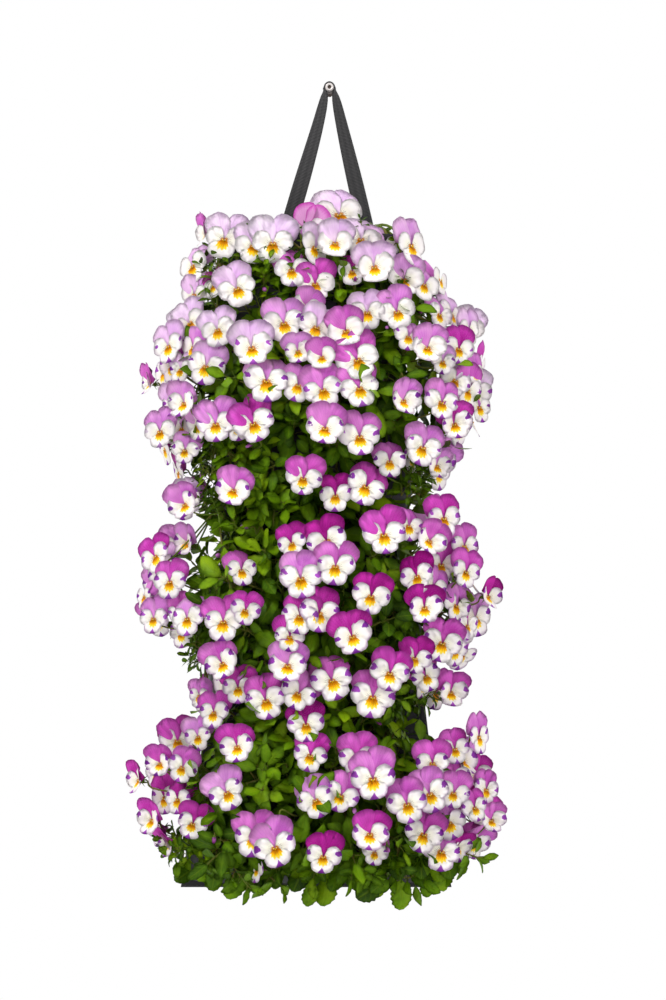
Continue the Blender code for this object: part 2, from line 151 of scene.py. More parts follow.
class Finish(Value):
    """A material with one Principled shader, and shortcuts to what its nodes read."""

    def __init__(self, name, **constants):
        self.material = bpy.data.materials.new(name)
        self.material.use_nodes = True
        super().__init__(self.material.node_tree, None)
        self.shader = self.tree.nodes["Principled BSDF"]
        for key, value in constants.items():
            self.shader.inputs[key.replace("_", " ")].default_value = value

    def attribute(self, name):
        """A number that each point of the mesh carries under this name."""
        return self.node("ShaderNodeAttribute", {"attribute_name": name}, out="Fac")

    def uv(self):
        return self.node("ShaderNodeUVMap", {"uv_map": "shape"})

    def place(self):
        """Where a point is, in metres."""
        return self.node("ShaderNodeTexCoord", out="Object")

    def noise(self, vector, scale, detail):
        """Soft random patches from 0 to 1. scale is how many fit in a metre, and detail adds finer ones."""
        return self.node("ShaderNodeTexNoise", Vector=vector, Scale=scale, Detail=detail)

    def feed(self, **sockets):
        """Links values to the shader's sockets, by name."""
        for name, value in sockets.items():
            self.tree.links.new(value.socket, self.shader.inputs[name.replace("_", " ")])

    def bump(self, height, strength, distance):
        """Small dents and ridges that only the light sees."""
        bumped = self.node("ShaderNodeBump", Height=height, Strength=strength, Distance=distance)
        self.feed(Normal=bumped)


def rgb(red, green, blue):
    """A colour as the linear light that shaders work in."""
    return (red, green, blue, 1.0)


# %% [markdown]
# The floor and the room are a studio's white paper sweep. Turning up their light until they look white
# would flood the violas with it. So they answer each ray by its kind instead: white for what is seen
# directly, in a mirror or through glass, and a plain grey for the light that falls on the plants.

# %% The room
ROOM_LIGHT = 0.80
WHITE = rgb(1.0, 1.0, 1.0)


def seen_directly(finish):
    """1 for rays from the camera, from a mirror or through glass, and 0 for the rays that carry light."""
    kinds = ("Is Camera Ray", "Is Glossy Ray", "Is Transmission Ray")
    camera_ray, mirror_ray, glass_ray = (finish.node("ShaderNodeLightPath", out=kind) for kind in kinds)
    return camera_ray.math("MAXIMUM", mirror_ray).math("MAXIMUM", glass_ray)


world = bpy.data.worlds.new("room")
world.use_nodes = True
scene.world = world
room = Value(world.node_tree, None)
background = world.node_tree.nodes["Background"]
light_level = seen_directly(room).mix(rgb(ROOM_LIGHT, ROOM_LIGHT, ROOM_LIGHT), WHITE)
world.node_tree.links.new(light_level.socket, background.inputs["Color"])
print("light of the room:", ROOM_LIGHT)

# %% Lamps and floor
KEY_POWER, FILL_POWER = 31.0, 9.3
POUCH_MIDDLE = (0, 0, -0.45)
FLOOR_GREY, FLOOR_SIZE = 0.86, 6
FLOOR_DROP = 0.16  # from the pouch's hem to the floor


def add_lamp(name, place, size, power):
    """A round soft lamp that shines at the middle of the pouch."""
    lamp = bpy.data.lights.new(name, "AREA")
    lamp.shape, lamp.size, lamp.energy = "DISK", size, power
    obj = bpy.data.objects.new(name, lamp)
    obj.location = place
    obj.rotation_euler = (Vector(POUCH_MIDDLE) - Vector(place)).to_track_quat("-Z", "Y").to_euler()
    scene.collection.objects.link(obj)


add_lamp("key", (-1.1, -1.9, 1.1), 0.9, KEY_POWER)
add_lamp("fill", (1.5, -1.6, 0.1), 1.2, FILL_POWER)

paper = Finish("floor", Roughness=0.9, Base_Color=rgb(FLOOR_GREY, FLOOR_GREY, FLOOR_GREY))
lit = Value(paper.tree, paper.shader.outputs["BSDF"])
glow = paper.node("ShaderNodeEmission", Color=WHITE, Strength=1.0)
shown = paper.node("ShaderNodeMixShader", _0=seen_directly(paper), _1=lit, _2=glow)
paper.tree.links.new(shown.socket, paper.tree.nodes["Material Output"].inputs["Surface"])

hem_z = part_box("back_panel")[0].z
floor_z = hem_z - FLOOR_DROP
bpy.ops.mesh.primitive_plane_add(size=FLOOR_SIZE, location=(0, 0, floor_z))
floor = bpy.context.object
floor.name = "floor"
floor.data.materials.append(paper.material)
print(f"floor at {floor_z:.3f} m")

# %% [markdown]
# ## Small tools for shapes
#
# Petals and leaves are the same kind of thing: a thin blade that is closed round its rim. A `Shape` gathers
# blades and tubes into one mesh. At each point it also keeps what the materials read: a place on the blade
# across and along, which part it belongs to, and whether it is on the underside.

# %% Shapes made of blades and tubes
SHARP = radians(75)  # a blade's rim is sharper than this, so its front and back are shaded apart


def tube_faces(rings, sides):
    """The walls between rings of points, one after another, and a cap on both ends."""
    faces = []
    for i in range(rings - 1):
        for k in range(sides):
            a, b = i * sides + k, i * sides + (k + 1) % sides
            faces.append((a, b, b + sides, a + sides))
    faces.append(list(reversed(range(sides))))
    faces.append([(rings - 1) * sides + k for k in range(sides)])
    return faces


class Shape:
    """Points, faces and what a material reads at each point, gathered part by part."""

    def __init__(self):
        self.points, self.faces, self.uvs, self.kind, self.under = [], [], [], [], []

    def add(self, points, faces, uvs, kind=0.0, under=None, matrix=None):
        first = len(self.points)
        matrix = matrix or Matrix()
        self.points += [matrix @ Vector(p) for p in points]
        self.faces += [[first + i for i in face] for face in faces]
        self.uvs += uvs
        self.kind += [kind] * len(points)
        self.under += under or [0.0] * len(points)

    def blade(self, grid, thick, kind, matrix):
        """A thin leaf or petal: a grid of front points, row by row, and a back that meets it at the rim."""
        rows, columns = len(grid), len(grid[0])
        points, uvs, front, back = [], [], {}, {}
        for r, row in enumerate(grid):
            for c, point in enumerate(row):
                front[r, c] = back[r, c] = len(points)
                points.append(point)
                uvs.append((c / (columns - 1), r / (rows - 1)))
        under = [0.0] * len(points)
        for r in range(1, rows - 1):
            for c in range(1, columns - 1):
                x, y, z = grid[r][c]
                back[r, c] = len(points)
                points.append((x, y, z - thick))
                uvs.append((c / (columns - 1), r / (rows - 1)))
                under.append(1.0)
        faces = []
        for r in range(rows - 1):
            for c in range(columns - 1):
                # Front and back are cut along the same diagonal, so they can't cross where it is curved.
                here, right, far, above = (r, c), (r, c + 1), (r + 1, c + 1), (r + 1, c)
                halves = ((here, right, far), (here, far, above))
                if (r, c) in ((0, columns - 2), (rows - 2, 0)):
                    halves = ((here, right, above), (right, far, above))
                for half in halves:
                    faces.append([front[i] for i in half])
                    faces.append([back[i] for i in reversed(half)])
        self.add(points, faces, uvs, kind, under, matrix)

    def tube(self, path, radii, sides, kind=1.0):
        """A closed round stem along a path of points, which doesn't twist on its way."""
        points, uvs = [], []
        way = (path[1] - path[0]).normalized()
        turn = way.to_track_quat("Z", "Y")
        last = len(path) - 1
        for i, (middle, radius) in enumerate(zip(path, radii)):
            ahead = (path[min(i + 1, last)] - path[max(i - 1, 0)]).normalized()
            turn = way.rotation_difference(ahead) @ turn
            way = ahead
            for k in range(sides):
                angle = 2 * pi * k / sides
                points.append(middle + turn @ Vector((radius * cos(angle), radius * sin(angle), 0)))
                uvs.append((k / sides, i / last))
        self.add(points, tube_faces(len(path), sides), uvs, kind)

    def blob(self, middle, radii, kind, sides=6, rings=3):
        """A small closed egg."""
        points, faces = [Vector((0, 0, -1))], []
        for r in range(1, rings + 1):
            polar = pi * r / (rings + 1)
            for k in range(sides):
                angle = 2 * pi * k / sides
                points.append(Vector((sin(polar) * cos(angle), sin(polar) * sin(angle), -cos(polar))))
        points.append(Vector((0, 0, 1)))
        top = len(points) - 1
        for k in range(sides):
            j = (k + 1) % sides
            faces.append((0, 1 + j, 1 + k))
            faces.append((top, top - sides + k, top - sides + j))
            for r in range(rings - 1):
                a = 1 + r * sides
                faces.append((a + k, a + j, a + sides + j, a + sides + k))
        points = [Vector(middle) + Vector(p * r for p, r in zip(point, radii)) for point in points]
        self.add(points, faces, [(0.5, 0.5)] * len(points), kind)

    def build(self, name, finish, home=None):
        """The mesh object. It joins the scene, or the collection that is its home."""
        mesh = bpy.data.meshes.new(name)
        mesh.from_pydata([tuple(p) for p in self.points], [], self.faces)
        corners = np.empty(len(mesh.loops), int)
        mesh.loops.foreach_get("vertex_index", corners)
        flat_uvs = np.asarray(self.uvs, float)[corners].ravel()
        mesh.uv_layers.new(name="shape").data.foreach_set("uv", flat_uvs)
        for key in ("kind", "under"):
            mesh.attributes.new(key, "FLOAT", "POINT").data.foreach_set("value", getattr(self, key))
        mesh.shade_smooth()
        mesh.set_sharp_from_angle(angle=SHARP)
        mesh.materials.append(finish.material)
        obj = bpy.data.objects.new(name, mesh)
        (home or scene.collection).objects.link(obj)
        return obj


def arc_through(points, count):
    """Points on a smooth curve from the first given point to the last, which leans towards the others."""
    curve = []
    for i in range(count + 1):
        t, layer = i / count, list(points)
        while len(layer) > 1:
            layer = [a.lerp(b, t) for a, b in zip(layer, layer[1:])]
        curve.append(layer[0])
    return curve


# %% [markdown]
# ## Scattering with Geometry Nodes
#
# Hundreds of flowers and shoots are copies of a few templates. Each copy is a point that carries its own
# turn, size and shade. One node tree puts a template on every point, makes the copies real and gives them
# their material.

# %% The scatter tree
def scatter_tree():
    tree = bpy.data.node_groups.new("scatter", "GeometryNodeTree")
    for name, kind in (("Points", "Geometry"), ("Templates", "Collection"), ("Finish", "Material")):
        tree.interface.new_socket(name, in_out="INPUT", socket_type=f"NodeSocket{kind}")
    tree.interface.new_socket("Copies", in_out="OUTPUT", socket_type="NodeSocketGeometry")
    start = tree.nodes.new("NodeGroupInput")
    points, templates, finish = (Value(tree, socket) for socket in start.outputs[:3])

    def carried(name, kind):
        return points.node("GeometryNodeInputNamedAttribute", {"data_type": kind}, Name=name)

    each = {"Separate_Children": True, "Reset_Children": True}
    chosen = points.node("GeometryNodeCollectionInfo", Collection=templates, **each)
    turn = points.node("FunctionNodeEulerToRotation", _0=carried("turn", "FLOAT_VECTOR"))
    copies = points.node(
        "GeometryNodeInstanceOnPoints",
        Points=points,
        Instance=chosen,
        Pick_Instance=True,
        Instance_Index=carried("variant", "INT"),
        Rotation=turn,
        Scale=carried("size", "FLOAT"),
    )
    real = points.node("GeometryNodeRealizeInstances", Geometry=copies)
    done = points.node("GeometryNodeSetMaterial", Geometry=real, Material=finish)
    end = tree.nodes.new("NodeGroupOutput")
    tree.links.new(done.socket, end.inputs[0])
    return tree


SCATTER = scatter_tree()
print("nodes in the scatter tree:", len(SCATTER.nodes))

# %% [markdown]
# A spot says where one copy goes. Its place and turn are worked out here, where they are easy to reason
# about, and the tree only reads them. The result is turned into one plain mesh, because an exporter leaves
# copies out.

# %% Spots
CARRIED = ("size", "shade", "tint", "blotch")  # numbers for the tree, or for the material


class Spot:
    """Where one copy goes: its place, the way that its template's z and y axes point, and what it carries."""

    def __init__(self, place, facing, upwards, variant, size=1.0, shade=0.5, tint=0.5, blotch=0.5):
        z = Vector(facing).normalized()
        x = Vector(upwards).cross(z).normalized()
        self.matrix = Matrix((x, z.cross(x), z)).transposed()
        self.place, self.variant, self.size = Vector(place), variant, size
        self.shade, self.tint, self.blotch = shade, tint, blotch

    def point(self, x, y, z):
        return self.place + self.matrix @ (Vector((x, y, z)) * self.size)


def scatter(name, spots, templates, finish):
    """Puts a copy of a template on every spot, as one plain mesh."""
    points = bpy.data.meshes.new(f"{name} points")
    points.from_pydata([spot.place for spot in spots], [], [])
    turns, variants = [tuple(spot.matrix.to_euler()) for spot in spots], [spot.variant for spot in spots]
    points.attributes.new("turn", "FLOAT_VECTOR", "POINT").data.foreach_set("vector", np.ravel(turns))
    points.attributes.new("variant", "INT", "POINT").data.foreach_set("value", variants)
    for key in CARRIED:
        values = [getattr(spot, key) for spot in spots]
        points.attributes.new(key, "FLOAT", "POINT").data.foreach_set("value", values)
    obj = bpy.data.objects.new(name, points)
    scene.collection.objects.link(obj)
    modifier = obj.modifiers.new("scatter", "NODES")
    modifier.node_group = SCATTER
    given = {"Templates": templates, "Finish": finish.material}
    for socket in SCATTER.interface.items_tree:
        if socket.name in given:
            modifier[socket.identifier] = given[socket.name]
    made = bpy.data.meshes.new_from_object(obj.evaluated_get(bpy.context.evaluated_depsgraph_get()))
    obj.modifiers.clear()
    obj.data = made
    made.name = name
    return obj

# %% [markdown]
# ## One viola flower
#
# A viola has five petals. Two coloured ones stand up at the back, two white ones spread like wings, and a
# broad lower one hangs in front with a yellow blotch. A petal could be modelled by hand, but a rule gives
# many at once: it is a fan, whose lines run from a narrow base to a round rim. All sizes here are in
# millimetres.

# %% Petals
MM = 0.001
UPPER, SIDE, LOWER, EYE, BEARD = 0.0, 1.0, 2.0, 3.0, 4.0  # which part of a flower a point belongs to
FAR_UPPER = 0.3  # the upper petal that lies behind the other one, which the finish paints deeper as shade
PETAL_ROWS, PETAL_COLUMNS, PETAL_THICK = 5, 11, 0.35
RIM_SWEEP = radians(116)  # how far the round rim reaches round, from the tip
# Length, width, base's width, where it is widest, how blunt its end is, and its curl, cup and ruffle.
PETALS = {
    UPPER: (31, 27.5, 6, 0.58, 0.78, -0.05, -0.08, 0.9),
    SIDE: (20.5, 21.5, 3, 0.53, 0.90, 0.02, 0.03, 0.45),
    LOWER: (17.5, 27, 8, 0.46, 0.70, -0.02, -0.03, 0.5),
}


def petal_grid(part, size, chance):
    """Front points of a petal that grows along +y."""
    length, width, base, belly, tip, curl, cup, ruffle = PETALS[part]
    length, width = length * size, width * size
    phase, waves = chance.uniform(0, 2 * pi), chance.uniform(2.2, 3.6)
    lean = chance.normal(0, 0.04)
    grid = []
    for r in range(PETAL_ROWS):
        v, row = r / (PETAL_ROWS - 1), []
        for c in range(PETAL_COLUMNS):
            u = 2 * c / (PETAL_COLUMNS - 1) - 1
            phi = u * RIM_SWEEP
            reach = abs(cos(phi)) ** tip * (1 if cos(phi) > 0 else -1)
            rim = Vector((width / 2 * sin(phi), length * (belly + (1 - belly) * reach), 0))
            rim *= 1 + 0.015 * sin(waves * 1.7 * phi + phase)
            point = Vector((u * base / 2, 0, 0)).lerp(rim, v)
            point.x += lean * point.y
            point.z = curl * length * v * v + cup * length * (u * v) ** 2
            point.z += ruffle * v * v * sin(waves * phi + phase)
            row.append(point)
        grid.append(row)
    return grid


def set_petal(flower, kind, grid, around, tilt, lift, start):
    """Puts a petal round the eye: around in degrees from straight up, tilted towards the viewer."""
    place = Matrix.Translation((0, 0, lift * MM)) @ Matrix.Rotation(radians(-around), 4, "Z")
    place = place @ Matrix.Rotation(radians(tilt), 4, "X") @ Matrix.Translation((0, start * MM, 0))
    flower.blade(grid, PETAL_THICK * MM, kind, place @ Matrix.Scale(MM, 4))


print("petals, in mm:", *(f"{long} x {wide}" for long, wide, *_ in PETALS.values()))

# %% [markdown]
# A flower sets its five petals round a small eye. Templates differ in ruffles and tilt, and one in six is
# half shut and another one cupped, so no two neighbours look the same.

# %% Flowers
FLOWER_TEMPLATES = 12
FOLD_BACK, CUP_FORWARD = 28, 26  # degrees that a half shut and a cupped flower's petals are turned


def make_flower(number, finish, home):
    chance = np.random.default_rng(400 + number)
    flower = Shape()
    folded, cupped = FOLD_BACK * (number % 6 == 5), CUP_FORWARD * (number % 6 == 2)
    for side in (-1, 1):
        size = chance.uniform(0.94, 1.08)
        grid = petal_grid(UPPER, size, chance)
        tilt = chance.uniform(-7, 4) - folded + cupped
        part = FAR_UPPER if side > 0 else UPPER
        set_petal(flower, part, grid, side * chance.uniform(25, 34), tilt, -1.8 - 0.7 * side, 0.6)
    for side in (-1, 1):
        size = chance.uniform(0.94, 1.06)
        grid = petal_grid(SIDE, size, chance)
        around = side * chance.uniform(66, 78)
        set_petal(flower, SIDE, grid, around, chance.uniform(-6, 6) + cupped, 0.1 + 0.25 * side, 1.0)
    size = chance.uniform(0.94, 1.06)
    grid = petal_grid(LOWER, size, chance)
    around = 180 + chance.normal(0, 3)
    set_petal(flower, LOWER, grid, around, chance.uniform(2, 12) + cupped, 1.0, 0.6)
    flower.blob((0, 0.2 * MM, 1.4 * MM), (1.0 * MM, 1.2 * MM, 1.1 * MM), EYE)
    for side in (-1, 1):
        flower.blob((side * 1.5 * MM, 1.0 * MM, 1.2 * MM), (0.5 * MM, 1.0 * MM, 0.5 * MM), BEARD, 5, 2)
    return flower.build(f"flower {number}", finish, home)


print("flower templates:", FLOWER_TEMPLATES)

# %% [markdown]
# Behind each flower are its green parts: five pointed sepals, the cup that holds them and a blunt spur.
# Buds are nodding eggs with a purple tip. These are templates too, because they show only between the
# petals and need few differences.

# %% Green parts and buds
BLADE, STEM, SEPAL, BUD = 0.0, 1.0, 2.0, 3.0  # which green part a point belongs to
BUD_VARIANT = 2  # the first templates are calyces, and this one is a bud
CUP_AT, CUP_WIDE = -3.6, 1.9  # where the cup behind a flower sits, and how wide it is


def sepal_grid(length, width, curl):
    """A narrow pointed blade that grows along +y."""
    shares = (0.55, 1.0, 0.62, 0.05)  # of its width, from base to tip
    return [
        [Vector((u * share * width / 2, length * r / 3, curl * length * (r / 3) ** 2)) for u in (-1, 0, 1)]
        for r, share in enumerate(shares)
    ]


def make_calyx(number, finish, home):
    chance = np.random.default_rng(440 + number)
    calyx = Shape()
    for k in range(5):
        grid = sepal_grid(9.5 * chance.uniform(0.85, 1.1), 3.0, -0.12)
        around = 36 + 72 * k + chance.normal(0, 8)
        set_petal(calyx, SEPAL, grid, around, chance.uniform(-40, -22), -3.0, 0.5)
    calyx.blob((0, 0, CUP_AT * MM), (CUP_WIDE * MM, CUP_WIDE * MM, 1.6 * MM), SEPAL)
    spur = [Vector((0, y * MM, z * MM)) for y, z in ((-1.0, -1.5), (-1.6, -5.0), (-1.0, -8.0))]
    calyx.tube(spur, [1.2 * MM, 1.0 * MM, 0.8 * MM], 5, SEPAL)
    return calyx.build(f"calyx {number}", finish, home)


def make_bud(finish, home):
    """A bud that points along +z, so a flower's stalk fits it too."""
    bud = Shape()
    bud.blob((0, 0, 2.6 * MM), (2.5 * MM, 2.5 * MM, 6.0 * MM), BUD, 7, 4)
    for k in range(5):
        turn = Matrix.Rotation(2 * pi * k / 5, 4, "Z") @ Matrix.Translation((0, 2.0 * MM, -3.5 * MM))
        place = turn @ Matrix.Rotation(radians(78), 4, "X") @ Matrix.Scale(MM, 4)
        bud.blade(sepal_grid(8.0, 3.2, -0.03), 0.3 * MM, SEPAL, place)
    bud.blob((0, 0, CUP_AT * MM), (CUP_WIDE * MM, CUP_WIDE * MM, 1.7 * MM), SEPAL)
    return bud.build("template bud", finish, home)


print("calyx templates:", BUD_VARIANT, "and one bud")

# %% [markdown]
# ## Leaves and shoots
#
# A viola's leaf is a long oval, folded a little along its middle and drooping to its tip, with blunt round
# teeth. Teeth could be cut out of a smooth leaf, but here the rows of its grid are simply wide and narrow
# in turn, which costs nothing. Leaves further in need fewer rows, and broad old ones at the hem, which are
# seen from close by, need more.

# %% Leaves
# Each kind of leaf: its rows from base to tip, and its columns from edge to edge.
FINE = (0.0, 0.14, 0.29, 0.44, 0.59, 0.73, 0.87, 1.0), (-1, -0.5, 0, 0.5, 1)
PLAIN = (0.0, 0.24, 0.52, 0.80, 1.0), (-1, 0, 1)
BROAD_ROWS = (0.0, 0.04, 0.11, 0.20, 0.29, 0.38, 0.47, 0.56, 0.65, 0.74, 0.82, 0.89, 0.95, 0.985, 1.0)
BROAD = BROAD_ROWS, (-1, -0.67, -0.33, 0, 0.33, 0.67, 1)


def leaf_grid(length, width, fold, droop, cut, chance, blunt=0.66, teeth=0.04):
    """Front points of a toothed oval leaf that grows along +y and faces +z."""
    wave, phase = chance.uniform(0.02, 0.06), chance.uniform(0, 2 * pi)
    bend = chance.normal(0, 0.12)
    grid = []
    for r, v in enumerate(cut[0]):
        half = width / 2 * max(0.05, sin(pi * v ** 1.05)) ** blunt
        half *= 1 + teeth if r % 2 else 1 - teeth
        row = []
        for u in cut[1]:
            z = fold * abs(u) * half - droop * length * v * v
            z += wave * length * abs(u) * sin(7 * v + phase + u)
            row.append(Vector((u * half + bend * length * v * v, length * v, z)))
        grid.append(row)
    return grid


for word, (leaf_rows, leaf_columns) in {"fine": FINE, "plain": PLAIN, "broad": BROAD}.items():
    print(f"{word} leaf: {len(leaf_rows)} rows, {len(leaf_columns)} columns")

# %% [markdown]
# Leaves sit in a spiral round a short stem, each turned by about 137 degrees from the one below. The low
# ones are large and stand out on long stalks, the top ones are small and upright. Plain shoots fill the
# shade further in. The broad old leaves hang singly, each from a stalk of its own.

# %% Shoots and broad leaves
SHOOT_TEMPLATES, PLAIN_SHOOTS, BROAD_LEAVES = 9, 4, 5
GOLDEN_TURN, LEAF_THICK = radians(137.5), 0.35
STIPULE = (11, 2.6, 0.1)  # length, width and curl of the small blades at a leaf's foot
BROAD_FOOT = Vector((0, 5, -17)) * MM  # from a broad leaf's base back to the foot of its stalk


def shoot_leaf(shoot, node, around, high, cut, chance):
    """One stalked leaf, this high up the shoot from 0 to 1. It gives back how the leaf is turned."""
    rise = radians(12 + 52 * high ** 1.5 + chance.normal(0, 8))
    out = Vector((cos(around), sin(around), 0))
    ahead = out * cos(rise) + Vector((0, 0, sin(rise)))
    stalk_long = (13 - 7 * high) * chance.uniform(0.8, 1.25) * MM
    foot = node + ahead * stalk_long
    stalk = arc_through([node, node + (ahead + Vector((0, 0, 0.5))) * stalk_long * 0.5, foot], 2)
    shoot.tube(stalk, [0.6 * MM, 0.55 * MM, 0.6 * MM], 3, STEM)
    face = rise - radians(chance.uniform(5, 30))
    way = out * cos(face) + Vector((0, 0, sin(face)))
    normal = Vector((0, 0, cos(face))) - out * sin(face)
    roll = Matrix.Rotation(chance.normal(0, 0.25), 4, way)
    axes = Matrix((way.cross(normal), way, normal)).transposed().to_4x4()
    length = (33 - 12 * high ** 1.3) * chance.uniform(0.85, 1.12)
    width = length * chance.uniform(0.48, 0.64)
    fold, droop = chance.uniform(0.05, 0.3), chance.uniform(0.02, 0.22)
    grid = leaf_grid(length, width, fold, droop, cut, chance)
    shoot.blade(grid, LEAF_THICK * MM, BLADE, Matrix.Translation(foot) @ roll @ axes @ Matrix.Scale(MM, 4))
    return roll, axes


def make_shoot(number, finish, home):
    chance, plain = np.random.default_rng(470 + number), number >= SHOOT_TEMPLATES
    shoot = Shape()
    tall, count = chance.uniform(36, 48) * MM, int(chance.integers(8, 11))
    lean = Vector((chance.normal(0, 0.15), chance.normal(0, 0.15), 1)) * tall
    stem = arc_through([Vector(), Vector((0, 0, tall * 0.5)), lean], 4)
    shoot.tube(stem, [1.3 * MM, 1.2 * MM, 1.1 * MM, 0.9 * MM, 0.7 * MM], 5, STEM)
    for k in range(count):
        high = k / (count - 1)
        node = stem[0].lerp(lean, 0.15 + 0.85 * high)
        around = GOLDEN_TURN * k + chance.normal(0, 0.2)
        roll, axes = shoot_leaf(shoot, node, around, high, PLAIN if plain else FINE, chance)
        if k % 2 and not plain:
            long, wide, curl = STIPULE
            grid = sepal_grid(long * chance.uniform(0.8, 1.1), wide, curl)
            shoot.blade(grid, 0.3 * MM, SEPAL, Matrix.Translation(node) @ roll @ axes @ Matrix.Scale(MM, 4))
    return shoot.build(f"{'shoot plain' if plain else 'shoot'} {number}", finish, home)


def make_broad_leaf(number, finish, home):
    """A broad old leaf with its base at the middle. It faces +z and hangs along -y from a stalk behind it."""
    chance = np.random.default_rng(610 + number)
    leaf = Shape()
    length = chance.uniform(25, 30)
    width, droop = length * chance.uniform(0.70, 0.82), chance.uniform(0.05, 0.2)
    grid = leaf_grid(length, width, -0.12, droop, BROAD, chance, blunt=0.50, teeth=0.075)
    leaf.blade(grid, 0.4 * MM, BLADE, Matrix.Rotation(pi, 4, "Z") @ Matrix.Scale(MM, 4))
    stalk = arc_through([BROAD_FOOT, Vector((0, 9, -6)) * MM, Vector((0, -1, -0.3)) * MM], 4)
    leaf.tube(stalk, [0.9 * MM, 0.8 * MM, 0.8 * MM, 0.8 * MM, 0.7 * MM], 5, STEM)
    return leaf.build(f"shoot wide {number}", finish, home)


print("shoot templates:", SHOOT_TEMPLATES, "and plain:", PLAIN_SHOOTS, "and broad leaves:", BROAD_LEAVES)

# %% [markdown]
# ## Where the plants grow
#
# The four tiers have grown together into one canopy, which swells out below each pocket's mouth and is
# narrower between two tiers. Its outline is written down level by level, and it is round from above. Shoots
# and flowers are thrown at it like darts, and a dart that lands too close to another one is thrown away, so
# they end up evenly crowded.

# %% Canopy
def in_metres(rows):
    """Rows of numbers that are written down in millimetres."""
    return [[number / 1000 for number in row] for row in rows]


# Level by level, in mm: height, the canopy's left and right edge, and how far it stands out.
OUTLINE = (
    (-150, -50, 30, 60), (-157, -92, 62, 85), (-168, -116, 82, 104), (-190, -137, 106, 118),
    (-222, -145, 122, 122), (-255, -156, 144, 135), (-290, -174, 152, 147), (-330, -172, 152, 153),
    (-360, -167, 140, 148), (-392, -160, 110, 138), (-425, -148, 102, 130), (-450, -137, 112, 132),
    (-475, -146, 132, 142), (-505, -174, 141, 153), (-545, -180, 151, 158), (-575, -162, 140, 155),
    (-605, -130, 122, 147), (-638, -128, 104, 136), (-655, -134, 72, 136), (-672, -152, 90, 142),
    (-692, -172, 138, 150), (-730, -184, 160, 158), (-765, -178, 158, 158), (-790, -160, 145, 150),
    (-815, -142, 120, 136),
)
outline_columns = in_metres(zip(*OUTLINE))
CANOPY_POWER = 2.3  # roundness of the canopy seen from above: 2 is an ellipse, large is a box
EDGE = 0.02  # no dart lands nearer to the canopy's back edges than this, in radians


def signed_power(value, power):
    """A power that keeps the sign. On a circle's sine and cosine it gives a rounded box or a bulge."""
    return abs(value) ** power * (1 if value >= 0 else -1)


def canopy_point(level, around):
    """A point of the surface: level counts down the outline, and around goes from left to right."""
    z, left, right, deep = (np.interp(level, range(len(OUTLINE)), column) for column in outline_columns)
    across = signed_power(cos(around), 2 / CANOPY_POWER)
    out = signed_power(sin(around), 2 / CANOPY_POWER)
    return Vector(((left + right) / 2 - (right - left) / 2 * across, -deep * out, z))


def dart(chance):
    """A random place on the surface, with the way that it faces."""
    level, around = chance.uniform(0, len(OUTLINE) - 1), chance.uniform(EDGE, pi - EDGE)
    down = canopy_point(level + 0.5, around) - canopy_point(level - 0.5, around)
    along_side = canopy_point(level, around + 0.01) - canopy_point(level, around - 0.01)
    return canopy_point(level, around), down.cross(along_side).normalized()


print("levels of the canopy:", len(OUTLINE))

# %% [markdown]
# Every shoot and flower belongs to one of twelve plants, three to a tier. Where two tiers have grown
# together, a height parts them. The frame has a root ball for each plant, and its stems rise from the
# middle of the ball's top.

# %% Tiers and plants
TIER_FOOT = {"top": -0.245, "upper": -0.430, "lower": -0.650, "bottom": -1.0}  # how low each one hangs
PLANTS = ("left", "middle", "right")
PARTING = 0.042  # from the middle of a tier to where its plants meet
UP, FRONT = Vector((0, 0, 1)), Vector((0, -1, 0))


class Tier:
    """One pocket's plants: how low they hang, and where each one's crown sits on its root ball."""

    def __init__(self, name):
        self.name, self.foot, self.crowns = name, TIER_FOOT[name], {}
        for plant in PLANTS:
            low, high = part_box(f"viola_{name}_{plant}_root_ball")
            self.crowns[plant] = Vector(((low.x + high.x) / 2, (low.y + high.y) / 2, high.z))

    def plant_at(self, x):
        offset = x - self.crowns["middle"].x
        return "middle" if abs(offset) < PARTING else PLANTS[0] if offset < 0 else PLANTS[2]


tiers = [Tier(name) for name in TIER_FOOT]
pockets = {name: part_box(f"pocket_{name}") for name in TIER_FOOT}


def tier_at(z):
    return next(tier for tier in tiers if z > tier.foot)


def in_pocket(point, margin):
    return any(
        all(low[i] - margin < point[i] < high[i] + margin for i in range(3))
        for low, high in pockets.values()
    )


print("plants:", sum(len(tier.crowns) for tier in tiers))

# %% [markdown]
# Seen from the front, the flowers leave clearings where the leaves come through, and these give the
# planting its rhythm. Each one is an oval. Places that must keep their distance are gathered in a crowd.

# %% Clearings and crowds
# Each clearing's middle, x and z, and half its width and height, in mm.
CLEARINGS = (
    (-62, -208, 20, 20), (-121, -209, 12, 16), (-8, -189, 22, 10), (40, -219, 32, 13),
    (84, -296, 25, 32), (-105, -311, 18, 13), (-48, -341, 20, 14), (35, -333, 20, 12),
    (-80, -410, 54, 42), (87, -415, 22, 14), (-95, -467, 28, 22), (-70, -506, 32, 20),
    (40, -491, 30, 17), (63, -543, 18, 24), (-105, -533, 30, 38), (-61, -573, 30, 18),
    (23, -593, 28, 14), (14, -656, 28, 18), (-18, -640, 12, 10), (-58, -648, 24, 14),
    (-46, -700, 42, 50), (75, -652, 20, 34), (-9, -756, 20, 14), (-125, -722, 20, 18),
    (-115, -793, 42, 20), (75, -790, 24, 18), (-135, -588, 26, 18), (30, -450, 20, 10),
    (78, -434, 16, 10), (28, -511, 14, 12), (-63, -535, 14, 20), (-121, -388, 13, 30),
    (-122, -455, 13, 26), (98, -428, 13, 26), (92, -642, 12, 18),
)
clearings = in_metres(CLEARINGS)


def in_clearing(point, margin=0.0):
    return any(
        ((point.x - x) / (w + margin)) ** 2 + ((point.z - z) / (h + margin)) ** 2 < 1
        for x, z, w, h in clearings
    )


